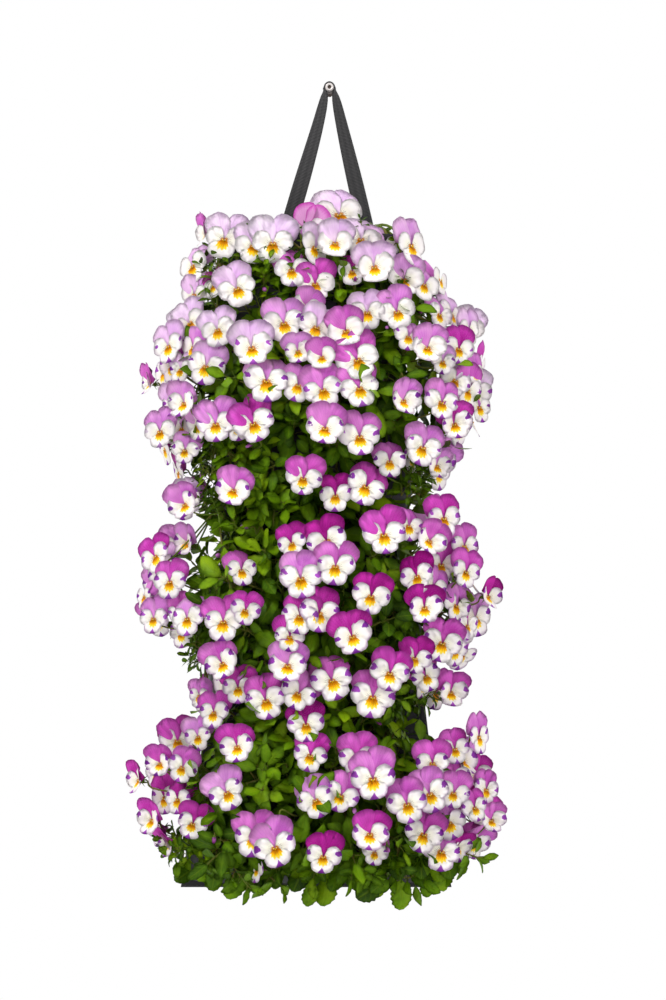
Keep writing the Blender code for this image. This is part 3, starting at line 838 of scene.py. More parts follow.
class Crowd:
    """Places that keep their distance from each other."""

    def __init__(self):
        self.places = np.empty((0, 3))

    def admits(self, point, distance):
        if len(self.places) and np.linalg.norm(self.places - np.array(point), axis=1).min() < distance:
            return False
        self.places = np.vstack((self.places, point))
        return True


print("clearings:", len(CLEARINGS))

# %% [markdown]
# ## Where the shoots go
#
# Some shoots have a place that follows from the pouch. Two rows of upright ones fill each pocket's mouth,
# and small bright ones stand in front of the highest pocket, where little else hides it.

# %% Shoots at the mouths
MOUTH_ROWS = (-0.053, -0.082)  # y of the two rows along a mouth
MOUTH_LEAN, ROW_LEAN = 0.25, 15.0  # how far shoots lean out, and how much more the front row does
FULL_MOUTH, TOP_MOUTH = (8, 1.0), (10, 0.36)  # how many shoots grow along a mouth, and their size
MOUTH_DEPTH = 0.004  # from the rim down to where they start
# Small shoots in front of the highest pocket: place in mm, and size.
SMALL_SHOOTS = (
    (-76, -86, -200, 0.46), (-61, -90, -196, 0.46), (-49, -92, -208, 0.44),
    (-66, -92, -217, 0.46), (-88, -78, -192, 0.4), (-104, -66, -196, 0.42),
    (-36, -94, -220, 0.44), (4, -96, -200, 0.38), (58, -88, -216, 0.44),
)


def shoot_variant(chance, plain=False):
    return int(SHOOT_TEMPLATES + chance.integers(PLAIN_SHOOTS) if plain else chance.integers(SHOOT_TEMPLATES))


def metres(x, y, z):
    """A place that is written down in millimetres."""
    return Vector((x / 1000, y / 1000, z / 1000))


def mouth_shoots(chance, tier):
    """Upright shoots in two rows along the mouth of a pocket."""
    low, high = pockets[tier.name]
    count, small = TOP_MOUTH if tier is tiers[0] else FULL_MOUTH
    for k in range(count):
        y = MOUTH_ROWS[k % len(MOUTH_ROWS)]
        x = low.x + (high.x - low.x) * (k + 0.5) / count
        place = Vector((x, y, high.z - MOUTH_DEPTH + chance.normal(0, 0.004)))
        axis = UP * small + FRONT * (ROW_LEAN * (MOUTH_ROWS[0] - y) + MOUTH_LEAN)
        axis += Vector(chance.normal(0, 0.22, 3))
        size = chance.uniform(0.75, 0.95) * small
        turned, tint = Vector(chance.normal(size=3)), float(chance.uniform(0.3, 0.7))
        variant = shoot_variant(chance, tier is not tiers[0])
        yield tier, Spot(place, axis, turned, variant, size, tint=tint)


def small_shoots(chance):
    for x, y, z, size in SMALL_SHOOTS:
        axis = FRONT * 0.6 + UP * 0.7 + Vector(chance.normal(0, 0.2, 3))
        tint = float(chance.uniform(0.7, 0.95))
        yield tiers[0], Spot(metres(x, y, z), axis, UP, shoot_variant(chance), size, tint=tint)


print("small shoots:", len(SMALL_SHOOTS))

# %% [markdown]
# At the hem a row of shoots leans out, and under them broad old leaves hang over the pouch's lower edge in
# two rows, set like tiles. Both rows curve back to the wall at their ends.

# %% Shoots and leaves at the hem
HEM_LEFT, HEM_RIGHT = -0.151, 0.127
HEM_SHOOTS, HEM_LEAVES = 11, 46
SHOOTS_FRONT, SHOOTS_BACK, SHOOTS_RISE = -0.112, 0.05, 0.039  # y, how far the ends curve back, height
LEAVES_FRONT, LEAVES_BACK, LEAVES_RISE = -0.106, 0.055, 0.033  # the same for the leaves
TILE_STEP = 0.017  # between the two rows of leaves
# Leaves that hang lower than the others: place and size.
LOW_LEAVES = ((-0.018, -0.110, -0.814, 1.0), (-0.072, -0.100, -0.806, 0.85), (0.052, -0.100, -0.812, 0.70))


def hem_shoots(chance):
    for i in range(HEM_SHOOTS):
        x = HEM_LEFT + (HEM_RIGHT - HEM_LEFT) * i / (HEM_SHOOTS - 1)
        edge = abs(2 * i / (HEM_SHOOTS - 1) - 1) ** 3
        y = SHOOTS_FRONT + SHOOTS_BACK * edge + chance.normal(0, 0.006)
        place = Vector((x, y, hem_z + SHOOTS_RISE + chance.normal(0, 0.006)))
        axis = Vector((chance.normal(0, 0.6), -0.8, 0.15 + chance.normal(0, 0.4)))
        size, tint = chance.uniform(0.60, 0.90), float(chance.uniform(0.55, 0.95))
        yield tiers[-1], Spot(place, axis, UP, shoot_variant(chance), size, tint=tint)


def hem_leaves(chance):
    """Broad leaves that hang over the pouch's lower edge, and a few that hang lower still."""
    places = []
    for i in range(HEM_LEAVES):
        share = 2 * i / (HEM_LEAVES - 1) - 1
        x = (HEM_LEFT + HEM_RIGHT) / 2 + (HEM_RIGHT - HEM_LEFT) / 2 * share
        y = LEAVES_FRONT + LEAVES_BACK * abs(share) ** 4 + chance.normal(0, 0.005)
        z = hem_z + LEAVES_RISE + TILE_STEP * (i % 2) + chance.normal(0, 0.0045)
        places.append((x + chance.normal(0, 0.003), y, z, chance.uniform(0.62, 1.15)))
    for k, (x, y, z, size) in enumerate(places + list(LOW_LEAVES)):
        low = k >= HEM_LEAVES
        roll = 0.05 if low else chance.normal(0, 0.45)
        facing = Vector((chance.normal(0, 0.4), -1, 0.1 if low else chance.uniform(0.0, 0.8)))
        upwards = (sin(roll), 0, cos(roll))
        variant = int(SHOOT_TEMPLATES + PLAIN_SHOOTS + chance.integers(BROAD_LEAVES))
        tint = float(chance.uniform(0.1, 0.85))
        yield tiers[-1], Spot((x, y, z), facing, upwards, variant, size, tint=tint)


print("at the hem:", HEM_SHOOTS, "shoots and", HEM_LEAVES + len(LOW_LEAVES), "leaves")

# %% [markdown]
# All other shoots are thrown. An outer layer of them makes the canopy's leafy skin, and a looser inner
# layer closes the depth behind it. They lean outwards and up to the light. Where a pocket is in the way a
# shoot is short, starts nearer to the surface and stands upright.

# %% Thrown shoots
FULL_ROOM = 0.056  # how deep under the surface a full-sized shoot starts
SHOOT_LAYERS = ((FULL_ROOM, 0.0235, 9000), (0.076, 0.030, 5000))  # depth, spacing and throws
SHOOT_TOP = -0.172  # no shoot reaches the canopy above this height, where only flowers show
SHOOT_BACK = 0.048  # a full-sized shoot needs this much air between its foot and the wall
LEAST_ROOM, ROOM_STEP, LEAST_SHARE = 0.014, 0.006, 0.42  # how short a shoot gets in front of a pocket
POCKET_GAP, HEM_GAP = 0.003, 0.042  # from a shoot's foot to a pocket, and up from the hem
SHORT, SHORT_MARGIN = 0.6, 0.010  # shoots as short as this grow in and round the clearings only
LEAST_CROWDING = 0.7  # short shoots stand closer together, but not closer than this
CLEARING_RISE = 0.011  # in a clearing the shoots grow this much further out, and are painted lighter


def thrown_shoots(chance, depth, spacing, throws):
    crowd = Crowd()
    for _ in range(throws):
        surface, facing = dart(chance)
        rise = CLEARING_RISE if in_clearing(surface) else 0.0
        room = depth
        while room > LEAST_ROOM and in_pocket(surface - facing * (room - rise), POCKET_GAP):
            room -= ROOM_STEP
        share = min(1.0, max(room / FULL_ROOM, LEAST_SHARE))
        place, size = surface - facing * (room - rise), chance.uniform(0.85, 1.1) * share
        place.y = min(place.y, -SHOOT_BACK * size)
        hidden = in_pocket(place, POCKET_GAP) or surface.z > SHOOT_TOP or place.z < hem_z + HEM_GAP
        hidden = hidden or share < SHORT and not in_clearing(surface, SHORT_MARGIN)
        if hidden or not crowd.admits(place, spacing * max(share, LEAST_CROWDING)):
            continue
        # A short shoot stands upright, and one near the hem leans down.
        low = max(0.0, (hem_z + 0.09 - place.z) / 0.06)
        noise = Vector(chance.normal(0, 0.22, 3))
        axis = facing * (0.4 + 0.6 * share) + UP * (0.40 + 0.8 * (1 - share) - 0.55 * low) + noise
        axis.y = min(axis.y, -0.2)
        # Leaves are painted lighter where they face the sky or fill a clearing, as painted light, and darker
        # in the depth, as painted shade.
        tint = 0.56 + 0.25 * facing.z + chance.normal(0, 0.20) - 4 * max(depth - 0.05, 0) + 14 * rise
        turned = Vector(chance.normal(size=3))
        variant = shoot_variant(chance, depth > FULL_ROOM or share < SHORT)
        yield tier_at(surface.z), Spot(place, axis, turned, variant, size, tint=float(np.clip(tint, 0, 1)))


def grow_shoots():
    """(tier, spot) of every shoot."""
    chance, spots = np.random.default_rng(31), []
    for tier in tiers:
        spots += mouth_shoots(chance, tier)
    spots += small_shoots(chance)
    spots += hem_shoots(chance)
    spots += hem_leaves(chance)
    for layer in SHOOT_LAYERS:
        spots += thrown_shoots(chance, *layer)
    return spots


shoots = grow_shoots()
print("shoots:", len(shoots))

# %% [markdown]
# ## Where the flowers go
#
# Flowers stand above the leaves and look towards the light. Those of the canopy's front are what everyone
# looks at, so each one has a place of its own, set one by one from the top down. Small and turned ones peep
# out between larger ones, and leaves show in the clearings.

# %% Flowers of the front
# Each flower's place in mm, its size, its shade from pale to deep, and how far it turns to the right.
KEPT_PLACES = (
    (10, -70, -140, 1.2, 0.05, 0.1), (-107, -88, -167, 1, 0.05, -0.2), (-77, -100, -175, 0.95, 0.05, 0.1),
    (-57, -105, -173, 1.05, 0, 0), (-15, -111, -178, 0.95, 0.05, 0.8), (6, -116, -174, 0.95, 0.05, 0),
    (32, -98, -168, 0.95, 0.05, 0.2), (55, -90, -173, 0.9, 0.15, 0.6), (45, -116, -198, 0.98, 0.1, 0.1),
    (23, -117, -202, 0.7, 0.85, -0.1), (-14, -120, -215, 0.9, 0.62, 0), (-38, -118, -201, 0.88, 0.5, 0.1),
    (-92, -124, -220, 0.98, 0.1, 0.1), (-141, -50, -191, 1, 0.15, -0.7),
    (-139, -60, -221, 0.85, 0.15, -0.6), (-118, -80, -213, 0.65, 0.8, -0.7),
    (-126, -62, -158, 0.8, 0.5, -1.3), (-23, -85, -153, 0.95, 0.75, 2.9), (83, -94, -174, 1.05, 0.22, 0.9),
    (75, -96, -209, 1, 0.25, 0.3), (96, -90, -213, 0.88, 0.3, 0.6), (114, -55, -205, 0.8, 0.45, 1.2),
    (-142, -78, -251, 0.95, 0.05, -0.5), (-112, -118, -261, 0.85, 0.05, -0.2), (-45, -140, -256, 1, 0.3, 0),
    (-24, -125, -238, 0.78, 0.4, 0.1), (-13, -142, -260, 0.92, 0.1, 0), (17, -144, -264, 0.98, 0.5, 0),
    (38, -126, -244, 0.85, 0.1, 0.2), (68, -120, -243, 0.92, 0.35, 0.2), (98, -118, -279, 0.95, 0.35, 0.3),
    (79, -126, -268, 0.7, 0.3, 0.2), (112, -85, -243, 0.8, 0.35, 0.7), (143, -68, -257, 0.8, 0.15, 0.9),
    (131, -90, -278, 0.85, 0.75, 0.5), (114, -110, -292, 0.66, 0.2, 0.4), (149, -65, -300, 0.8, 0.4, 0.9),
    (-164, -78, -275, 0.9, 0.12, -0.6), (-124, -120, -298, 0.95, 0.2, -0.2),
    (-151, -90, -299, 0.66, 0.1, -0.5), (-77, -146, -281, 1.04, 0.08, 0.1), (-62, -156, -314, 1.08, 0.3, 0),
    (-31, -148, -284, 0.72, 0.3, 0), (-31, -155, -318, 0.82, 0.4, 0.1), (-7, -152, -290, 0.78, 0.5, -0.1),
    (28, -154, -293, 1, 0.55, 0), (-6, -160, -323, 0.98, 0.45, 0), (30, -157, -321, 0.98, 0.5, 0.1),
    (73, -143, -333, 0.88, 0.35, 0.6), (-183, -58, -311, 0.8, 0.55, -1.2),
    (-146, -105, -334, 0.85, 0.3, -0.6), (154, -58, -336, 0.8, 0.4, 0.8),
    (-113, -138, -356, 0.95, 0.35, -0.2), (-91, -142, -359, 0.68, 0.3, -0.1),
    (-75, -150, -356, 0.98, 0.65, 0), (-4, -157, -361, 1.02, 0.45, 0), (30, -155, -369, 0.98, 0.45, 0.1),
    (-172, -85, -362, 0.85, 0.3, -0.4), (-146, -98, -381, 0.72, 0.3, -0.3),
    (126, -98, -355, 0.9, 0.75, 0.3), (93, -122, -379, 0.92, 0.35, 0.3), (108, -98, -397, 0.72, 0.3, 0.5),
    (-95, -138, -422, 0.96, 0.45, -0.1), (-26, -146, -410, 0.86, 0.6, 0), (6, -136, -427, 0.8, 0.95, 0),
    (36, -138, -418, 0.95, 0.65, 0), (60, -128, -393, 0.82, 0.5, 0.2), (-145, -102, -436, 0.9, 0.4, -0.4),
    (-2, -152, -472, 0.92, 0.95, 0), (-37, -148, -474, 0.76, 0.9, -0.3), (54, -150, -466, 1, 0.65, 0.1),
    (79, -140, -457, 0.76, 0.5, 0.4), (99, -135, -472, 0.86, 0.55, 0.4), (115, -112, -450, 0.9, 0.75, 0.5),
    (137, -88, -478, 0.8, 0.5, 0.6), (138, -98, -504, 0.85, 0.6, 0.6), (162, -60, -530, 0.8, 0.95, 0.9),
    (-177, -80, -489, 0.9, 0.75, -0.6), (-161, -102, -514, 0.85, 0.6, -0.4),
    (-190, -60, -530, 0.7, 0.4, -0.9), (-179, -80, -552, 0.8, 0.35, -0.5),
    (-142, -128, -550, 0.9, 0.3, -0.4), (-87, -147, -501, 0.8, 0.55, 0.5), (-28, -160, -509, 1, 0.35, 0),
    (6, -160, -497, 0.92, 0.5, 0), (41, -162, -526, 0.88, 0.95, 0.1), (87, -148, -507, 0.86, 1, -0.5),
    (94, -150, -538, 0.9, 0.95, 0.1), (23, -163, -566, 1, 0.85, 0), (-10, -164, -543, 0.95, 0.85, 0.2),
    (-29, -163, -546, 0.86, 0.8, -0.2), (-39, -161, -566, 0.76, 0.8, 0.2),
    (-83, -156, -540, 0.72, 0.7, 0.3), (-105, -150, -552, 0.95, 0.6, -0.1),
    (-106, -138, -594, 0.9, 0.5, -0.2), (-41, -153, -595, 1.02, 0.35, 0), (3, -150, -610, 1, 0.55, 0),
    (60, -148, -603, 0.95, 0.7, 0.1), (85, -132, -589, 0.8, 0.9, 0.2), (113, -118, -575, 0.95, 0.6, 0.2),
    (97, -118, -608, 0.76, 0.6, 0.3), (123, -82, -627, 0.85, 0.6, 0.4), (-91, -128, -619, 0.8, 0.75, -0.1),
    (-63, -138, -631, 0.95, 0.6, 0), (-31, -148, -623, 0.86, 0.45, 0), (43, -145, -627, 1.02, 0.55, 0),
    (-117, -98, -646, 0.8, 0.6, -0.4), (-23, -145, -654, 0.85, 0.95, 0.1),
    (-133, -72, -631, 0.64, 0.4, -0.6), (-133, -92, -671, 0.76, 0.3, -0.4),
    (-91, -145, -676, 0.9, 0.75, -0.2), (-19, -150, -684, 0.85, 0.75, 0.1), (-101, -150, -721, 0.9, 0.3, 0),
    (28, -152, -687, 0.95, 0.6, 0), (43, -164, -706, 1.05, 0.45, 0), (11, -162, -722, 0.86, 0.5, -0.1),
    (-13, -163, -727, 0.9, 0.3, -0.2), (77, -155, -732, 0.95, 0.5, 0.1), (100, -145, -723, 0.95, 0.4, 0.2),
    (124, -125, -724, 0.8, 0.5, 0.3), (103, -130, -694, 0.85, 0.6, 0.2), (127, -98, -683, 0.76, 0.6, 0.4),
    (152, -85, -672, 0.9, 0.45, 1), (165, -72, -758, 0.76, 0.5, 0.5), (160, -72, -727, 0.76, 0.5, 0.7),
    (147, -98, -742, 0.74, 0.6, 0.6), (-194, -75, -717, 0.8, 0.8, -1.1), (-171, -92, -698, 0.8, 0.6, -0.4),
    (-148, -112, -700, 0.76, 0.5, -0.2), (-180, -80, -757, 0.85, 0.7, -0.8),
    (-137, -123, -755, 0.78, 0.8, -0.1), (-75, -160, -764, 0.95, 0.5, -0.2), (-53, -167, -773, 1, 0.4, 0),
    (-6, -165, -782, 0.85, 0.95, 0), (40, -158, -761, 0.98, 0.75, 0.1), (45, -143, -781, 0.64, 0.5, 0.2),
    (94, -130, -765, 0.92, 0.6, 0.2), (112, -118, -784, 0.98, 0.4, 0.3),
    (-72, -125, -800, 0.72, 0.85, -1.1),
)
print("flowers of the front:", len(KEPT_PLACES))

# %% [markdown]
# Darts give the flowers of the two sides, where the canopy turns to the wall. They aren't spread evenly: a
# slow wave makes them crowd in one place and leave room in another. Higher tiers are pale lavender, and the
# lower ones are deep magenta with violet marks on their white petals.

# %% All flowers
FLOWER_SPACING, FLOWER_THROWS = 0.0245, 16000
SIDEWAYS = 0.70  # darts count only where the canopy faces aside at least this much
UNDERSIDE = -0.62  # and no flower grows where it faces down more than this
TOP_CROWD, HEM_CROWD = -0.238, 0.050  # nor above this height, or nearer to the hem than this
WALL_CROWD = -0.026  # nor nearer to the wall
CLEARING_MARGIN = 0.006  # the middles of flowers keep this far out of a clearing
LOOSE_BELOW = -0.36  # below this height they stand further apart
NODDING = 0.05  # how much the flowers hang their heads
TURNED_AWAY = 0.10  # share of the flowers that look any way they like
PALE_Z, DEEP_Z = -0.222, -0.692  # the heights where the colours are palest and deepest


def depth_of_colour(z):
    """0 in the highest tier, and about 1 in the lowest."""
    return max((PALE_Z - z) / (PALE_Z - DEEP_Z), 0.0)


def flower_spot(place, facing, size, down, chance, shade=None):
    """A flower with a small roll of its own. down is its depth of colour."""
    roll = chance.normal(0, 0.22) + 0.25 * facing.x
    upwards = Vector((sin(roll), 0, cos(roll)))
    if shade is None:
        shade = 0.08 + 0.48 * down ** 0.55 + chance.normal(0, 0.24)
    blotch = float(np.clip(chance.normal(1.25 * down ** 0.6 - 0.10, 0.18), 0, 1))
    variant = int(chance.integers(FLOWER_TEMPLATES))
    shade = float(np.clip(shade, 0, 1))
    return Spot(place, facing, upwards, variant, size, shade, float(chance.uniform()), blotch)


def flower_spacing(place, chance):
    """How far apart flowers stand here: a slow wave makes clumps, and low down they are looser."""
    clump = sin(90 * place.x + 55 * place.z) * sin(75 * place.z - 45 * place.x + 2)
    loose = min(1.0, max(0.0, LOOSE_BELOW - place.z) / 0.10)
    ragged = chance.normal(0, 0.05)
    return FLOWER_SPACING * (1.11 + 0.10 * loose + (0.12 + 0.12 * loose) * clump + ragged)


def front_flowers(chance, crowd):
    for x, y, z, size, shade, yaw in KEPT_PLACES:
        place = metres(x, y, z)
        crowd.admits(place, 0)
        facing = Vector((sin(yaw), -cos(yaw), 0.05))
        down = depth_of_colour(z / 1000)
        yield tier_at(z / 1000), flower_spot(place, facing, size, down, chance, shade)


def side_flowers(chance, crowd):
    for _ in range(FLOWER_THROWS):
        surface, facing = dart(chance)
        place = surface + facing * chance.uniform(-0.004, 0.009)
        spacing = flower_spacing(place, chance)
        hidden = place.y > WALL_CROWD or not hem_z + HEM_CROWD < place.z < TOP_CROWD
        hidden = hidden or facing.z < UNDERSIDE or abs(facing.x) < SIDEWAYS
        if hidden or in_clearing(place, CLEARING_MARGIN) or not crowd.admits(place, spacing):
            continue
        looks = FRONT * 0.50 + facing * 0.60 + Vector(chance.normal(0, 0.22, 3))
        if chance.uniform() < TURNED_AWAY:
            looks = facing * 0.5 + Vector(chance.normal(0, 0.7, 3))
            looks.y = min(looks.y, 0.1)
        down = min(depth_of_colour(place.z), 1.0)
        looks.z = looks.z * 0.5 - NODDING * min(1.0, 2.2 * down)
        yield tier_at(surface.z), flower_spot(place, looks, chance.uniform(0.76, 1.01), down, chance)


crowd = Crowd()
flowers = list(front_flowers(np.random.default_rng(36), crowd))
flowers += side_flowers(np.random.default_rng(58), crowd)
print("flowers:", len(flowers))

# %% [markdown]
# Buds are thrown too, just above the leaves and between the flowers. Like the real ones they nod.

# %% Buds
BUD_COUNT, BUD_SPACING = 36, 0.03
BUD_WALL, BUD_HEM = -0.05, 0.03  # no bud grows nearer to the wall or to the hem than this


def grow_buds():
    chance, crowd, spots = np.random.default_rng(77), Crowd(), []
    while len(spots) < BUD_COUNT:
        surface, facing = dart(chance)
        place = surface + facing * chance.uniform(-0.008, 0.004)
        if place.y < BUD_WALL and place.z > hem_z + BUD_HEM and crowd.admits(place, BUD_SPACING):
            looks = facing + Vector(chance.normal(0, 0.4, 3)) - UP * 0.5
            bud = Spot(place, looks, UP, BUD_VARIANT, chance.uniform(0.7, 1.05), tint=float(chance.uniform()))
            spots.append((tier_at(surface.z), bud))
    return spots


buds = grow_buds()
print("buds:", len(buds))

# %% [markdown]
# ## What petals and leaves look like
#
# A petal's pattern could be painted as an image, but then all petals would be the same. It is worked out
# instead, from the petal's own fan: u runs across it and v from base to rim. Fine veins are lines of equal
# u. The yellow blotch, the violet wedge below it and the marks on the side petals are places in that fan,
# with ragged edges.

# %% Colours and ramps
def srgb(red, green, blue):
    """A screen colour, each part from 0 to 1, as the linear light that shaders work in."""
    return rgb(*(c / 12.92 if c < 0.04045 else ((c + 0.055) / 1.055) ** 2.4 for c in (red, green, blue)))


def fan(finish):
    """(u, v, how far across from the middle, fine grain) of a petal or leaf."""
    uv = finish.uv()
    u, v = uv.axis(0), uv.axis(1)
    grain = finish.noise(finish.place(), 260.0, 3.0)
    return u, v, abs(u - 0.5) * 2.0, grain


def ramp(value, *stops):
    """Colours along 0 to 1, evenly spaced."""
    made = value.node("ShaderNodeValToRGB", Fac=value)
    elements = made.socket.node.color_ramp.elements
    while len(elements) < len(stops):
        elements.new(0.5)
    for i, (element, colour) in enumerate(zip(elements, stops)):
        element.position, element.color = i / (len(stops) - 1), colour
    return made


def by_kind(kind, colour, *others):
    """The colour of the part that a point belongs to."""
    for number, other in enumerate(others):
        colour = kind.step(number + 0.4, number + 0.6).mix(colour, other)
    return colour

# %% Petal finish
petals = Finish("viola_petals", Roughness=0.7, Specular_IOR_Level=0.08)
u, v, across, grain = fan(petals)
kind, under, shade, tint, blotch = (petals.attribute(n) for n in ("kind", "under", "shade", "tint", "blotch"))
patchy = petals.noise(petals.place(), 70.0, 1.0)
veins = (u * 84.0 + patchy * 4.0).sine().step(0.55, 1.0) * v.step(0.05, 0.45)

# The upper petals, from pale lavender to deep magenta. The veins and the base are deeper, and the far petal
# is painted deeper as shade from the one in front.
light_shades = (0.955, 0.90, 0.95), (0.91, 0.64, 0.87), (0.87, 0.36, 0.80), (0.76, 0.12, 0.62)
deep_shades = (0.89, 0.74, 0.92), (0.77, 0.41, 0.78), (0.70, 0.14, 0.60), (0.52, 0.03, 0.42)
light, deep = (ramp(shade, *(srgb(*c) for c in shades)) for shades in (light_shades, deep_shades))
mottle = veins * 0.22 + patchy.step(0.35, 0.70) * 0.35 + v.step(0.98, 0.60) * 0.35
# The far upper petal is painted deeper, as painted shade behind the front one.
upper = (mottle + kind.step(0.1, 0.3) * 0.30).mix(light, deep)

# The side petals are white, with a wash of mauve at the rim and a violet mark on most of the deep flowers.
cream, white = srgb(0.97, 0.96, 0.88), srgb(0.970, 0.950, 0.940)
plain = v.step(0.25, 0.75).mix(cream, white)
wash = v.step(0.72, 1.0) * patchy.step(0.38, 0.62) * blotch * 0.5 + 0.03
pale = wash.mix(plain, srgb(0.86, 0.64, 0.90))
violet = ramp(tint, srgb(0.50, 0.16, 0.62), srgb(0.68, 0.32, 0.76))
whisker = (u * 50.0).sine().step(0.75, 0.95) * across.step(0.95, 0.7)

rays = (u * 44.0).sine() * 0.055 + (grain - 0.5) * 0.12
mark_v, mark_u = (v - 0.84) / 0.22, (u - 0.43 - tint * 0.14) / (v * 0.16 - 0.035)
wing_mark = blotch * 0.6 + 0.15 - mark_v * mark_v - mark_u * mark_u + (grain - 0.5) * 3.2
wing = (wing_mark.step(-0.08, 0.12) * blotch.step(0.12, 0.3)).mix(pale, violet)

# Yellow fills the base of the side petals, and more of the lower one. Dark whiskers run over it.
yellow_reach = 0.50 - across * across * 0.44 + rays
yolk_shades = srgb(0.93, 0.57, 0.02), srgb(0.99, 0.77, 0.05), srgb(1.0, 0.90, 0.30)
yolk = ramp((v - rays).step(0.08, 0.50), *yolk_shades)
wing = (v - rays * 0.6).step(0.17, 0.12).mix(wing, yolk)
wing = (whisker * v.step(0.08, 0.16) * v.step(0.36, 0.26) * 0.75).mix(wing, srgb(0.34, 0.12, 0.16))
lip = (v - yellow_reach).step(0.025, -0.025).mix(pale, yolk)
lip = (whisker * v.step(0.06, 0.14) * v.step(0.40, 0.28) * 0.45).mix(lip, srgb(0.45, 0.16, 0.06))
# A violet wedge opens from the yellow to the lower petal's rim.
wedge = (across - (v - 0.58) * 0.42 + (grain - 0.5) * 0.08).step(0.02, -0.02) * v.step(0.58, 0.62)
lip = (wedge * blotch.step(0.05, 0.25)).mix(lip, violet)

colour = by_kind(kind, upper, wing, lip, srgb(0.80, 0.62, 0.08), srgb(0.97, 0.90, 0.60))
colour = (under * 0.35).mix(colour, srgb(0.93, 0.85, 0.93))
petals.feed(Base_Color=colour)
petals.bump(veins * 0.6 + grain * 0.3, 0.15, 0.0004)
print("nodes in the petal finish:", len(petals.tree.nodes))

# %% [markdown]
# Leaves are darker between their veins, a little glossy, and greyer underneath. Their stalks, sepals and
# buds share the same finish and differ by kind.

# %% Leaf finish
leaves = Finish("viola_leaves", Specular_IOR_Level=0.10)
u, v, across, grain = fan(leaves)
kind, under, tint = (leaves.attribute(n) for n in ("kind", "under", "tint"))
patchy = leaves.noise(leaves.place(), 45.0, 2.0)
midrib = across.step(0.16, 0.04)
side_veins = ((v * 6.0 - across * 1.6) * 2 * pi).sine().step(0.55, 1.0)
vein = midrib.math("MAXIMUM", side_veins * 0.45)
# tint is each shoot's own tone, and on thrown shoots it also holds painted light and shade.
green_and_light_at = tint * 0.75 + (patchy - 0.5) * 0.9 + 0.10
leaf_greens = srgb(0.13, 0.23, 0.01), srgb(0.26, 0.40, 0.03), srgb(0.39, 0.54, 0.04), srgb(0.54, 0.66, 0.07)
green = ramp(green_and_light_at, *leaf_greens)
green = (vein * 0.22).mix(green, srgb(0.50, 0.60, 0.10))
green = (under * 0.6).mix(green, srgb(0.36, 0.46, 0.14))
stem_green = patchy.step(0.35, 0.65).mix(srgb(0.36, 0.46, 0.13), srgb(0.45, 0.43, 0.20))
sepal_green = patchy.step(0.3, 0.7).mix(srgb(0.27, 0.40, 0.08), srgb(0.44, 0.52, 0.20))
bud_colour = patchy.step(0.35, 0.65).mix(srgb(0.42, 0.10, 0.38), srgb(0.72, 0.45, 0.72))
green = by_kind(kind, green, stem_green, sepal_green, bud_colour)
leaves.feed(Base_Color=green, Roughness=grain * 0.25 + 0.30)
leaves.bump(vein * -0.8 + grain * 0.4, 0.5, 0.0005)
print("nodes in the leaf finish:", len(leaves.tree.nodes))

# %% [markdown]
# ## Dressing each plant
#
# The templates are built once, in collections that the scene doesn't hold, because they are only copied.

# %% Templates
template_home = bpy.data.collections.new
flower_home, shoot_home, green_home = (template_home(n) for n in ("flowers", "shoots", "greens"))
for number in range(FLOWER_TEMPLATES):
    make_flower(number, petals, flower_home)
for number in range(SHOOT_TEMPLATES + PLAIN_SHOOTS):
    make_shoot(number, leaves, shoot_home)
for number in range(BROAD_LEAVES):
    make_broad_leaf(number, leaves, shoot_home)
for number in range(BUD_VARIANT):
    make_calyx(number, leaves, green_home)
make_bud(leaves, green_home)

# %% [markdown]
# Every plant becomes four pieces: its leaves, its stalks, the green cups behind its flowers together with
# its buds, and its petals. Leafy stems rise from the crown, go over the pocket's rim and reach every shoot.
# Each flower has its own stalk, which starts at the nearest shoot and hooks over into the back of the
# flower. A stalk is a tube along a smooth curve, so it can be closed at its ends and needs few faces.

# %% Stems and stalks
CROWN_RISE = 0.018  # the crowns stand this far above their root balls
TOP_ARCH = 0.6  # the highest tier's stems rise less before they turn down
STEM_SIDES, STEM_STEPS, HOOK_STEPS, STALK_STEPS = 5, 8, 4, 5
made_pieces = []


def settle(obj, slot, *nodes):
    """Fixes a finished piece to the frame, as the new look of these nodes."""
    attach(obj, "root")
    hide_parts(*nodes)
    made_pieces.append(obj)


def leafy_stem(shape, crown, mouth_z, foot, arch):
    over = max(foot.z, mouth_z) + 0.015 * arch
    path = [crown, crown + UP * 0.025 * arch, Vector((foot.x, foot.y, over)), foot]
    radii = np.linspace(1.7 * MM, 1.2 * MM, STEM_STEPS + 1)
    shape.tube(arc_through(path, STEM_STEPS), radii, STEM_SIDES, STEM)


def flower_stalk(shape, spot, foot):
    """From the back of a flower, round a hook that nods, and down to the foot."""
    millimetres = (0, 0, -4.4), (0, 3, -8), (0, 4, -12.5), (0, -5, -13)
    bends = [spot.point(x * MM, y * MM, z * MM) for x, y, z in millimetres]
    hook = arc_through(bends, HOOK_STEPS)
    low = bends[-1].lerp(foot, 0.5) + Vector((0, -0.006, -0.004))
    path = hook + arc_through([bends[-1], bends[-1] * 2 - hook[-2], low, foot], STALK_STEPS)[1:]
    shape.tube(path, np.linspace(0.85 * MM, 0.95 * MM, len(path)), STEM_SIDES, STEM)


def plant_stalks(tier, plant, own_shoots, own_blooms):
    """The crown of a plant, a stem to each of its shoots and a stalk to each of its flowers and buds."""
    crown, arch = tier.crowns[plant] + UP * CROWN_RISE, TOP_ARCH if tier is tiers[0] else 1.0
    stalks = Shape()
    stalks.tube([tier.crowns[plant], crown], [4 * MM, 2.5 * MM], 8, STEM)
    for spot in own_shoots:
        leafy_stem(stalks, crown, pockets[tier.name][1].z, spot.place, arch)
    for spot in own_blooms:
        foot = min((s.place for s in own_shoots), key=lambda place: (place - spot.place).length)
        flower_stalk(stalks, spot, foot)
    return stalks


def flower_cup(spot, chance):
    """The green cup behind a flower, which looks the same way."""
    variant = int(chance.integers(BUD_VARIANT))
    return Spot(spot.place, spot.matrix.col[2], spot.matrix.col[1], variant, spot.size, tint=spot.tint)


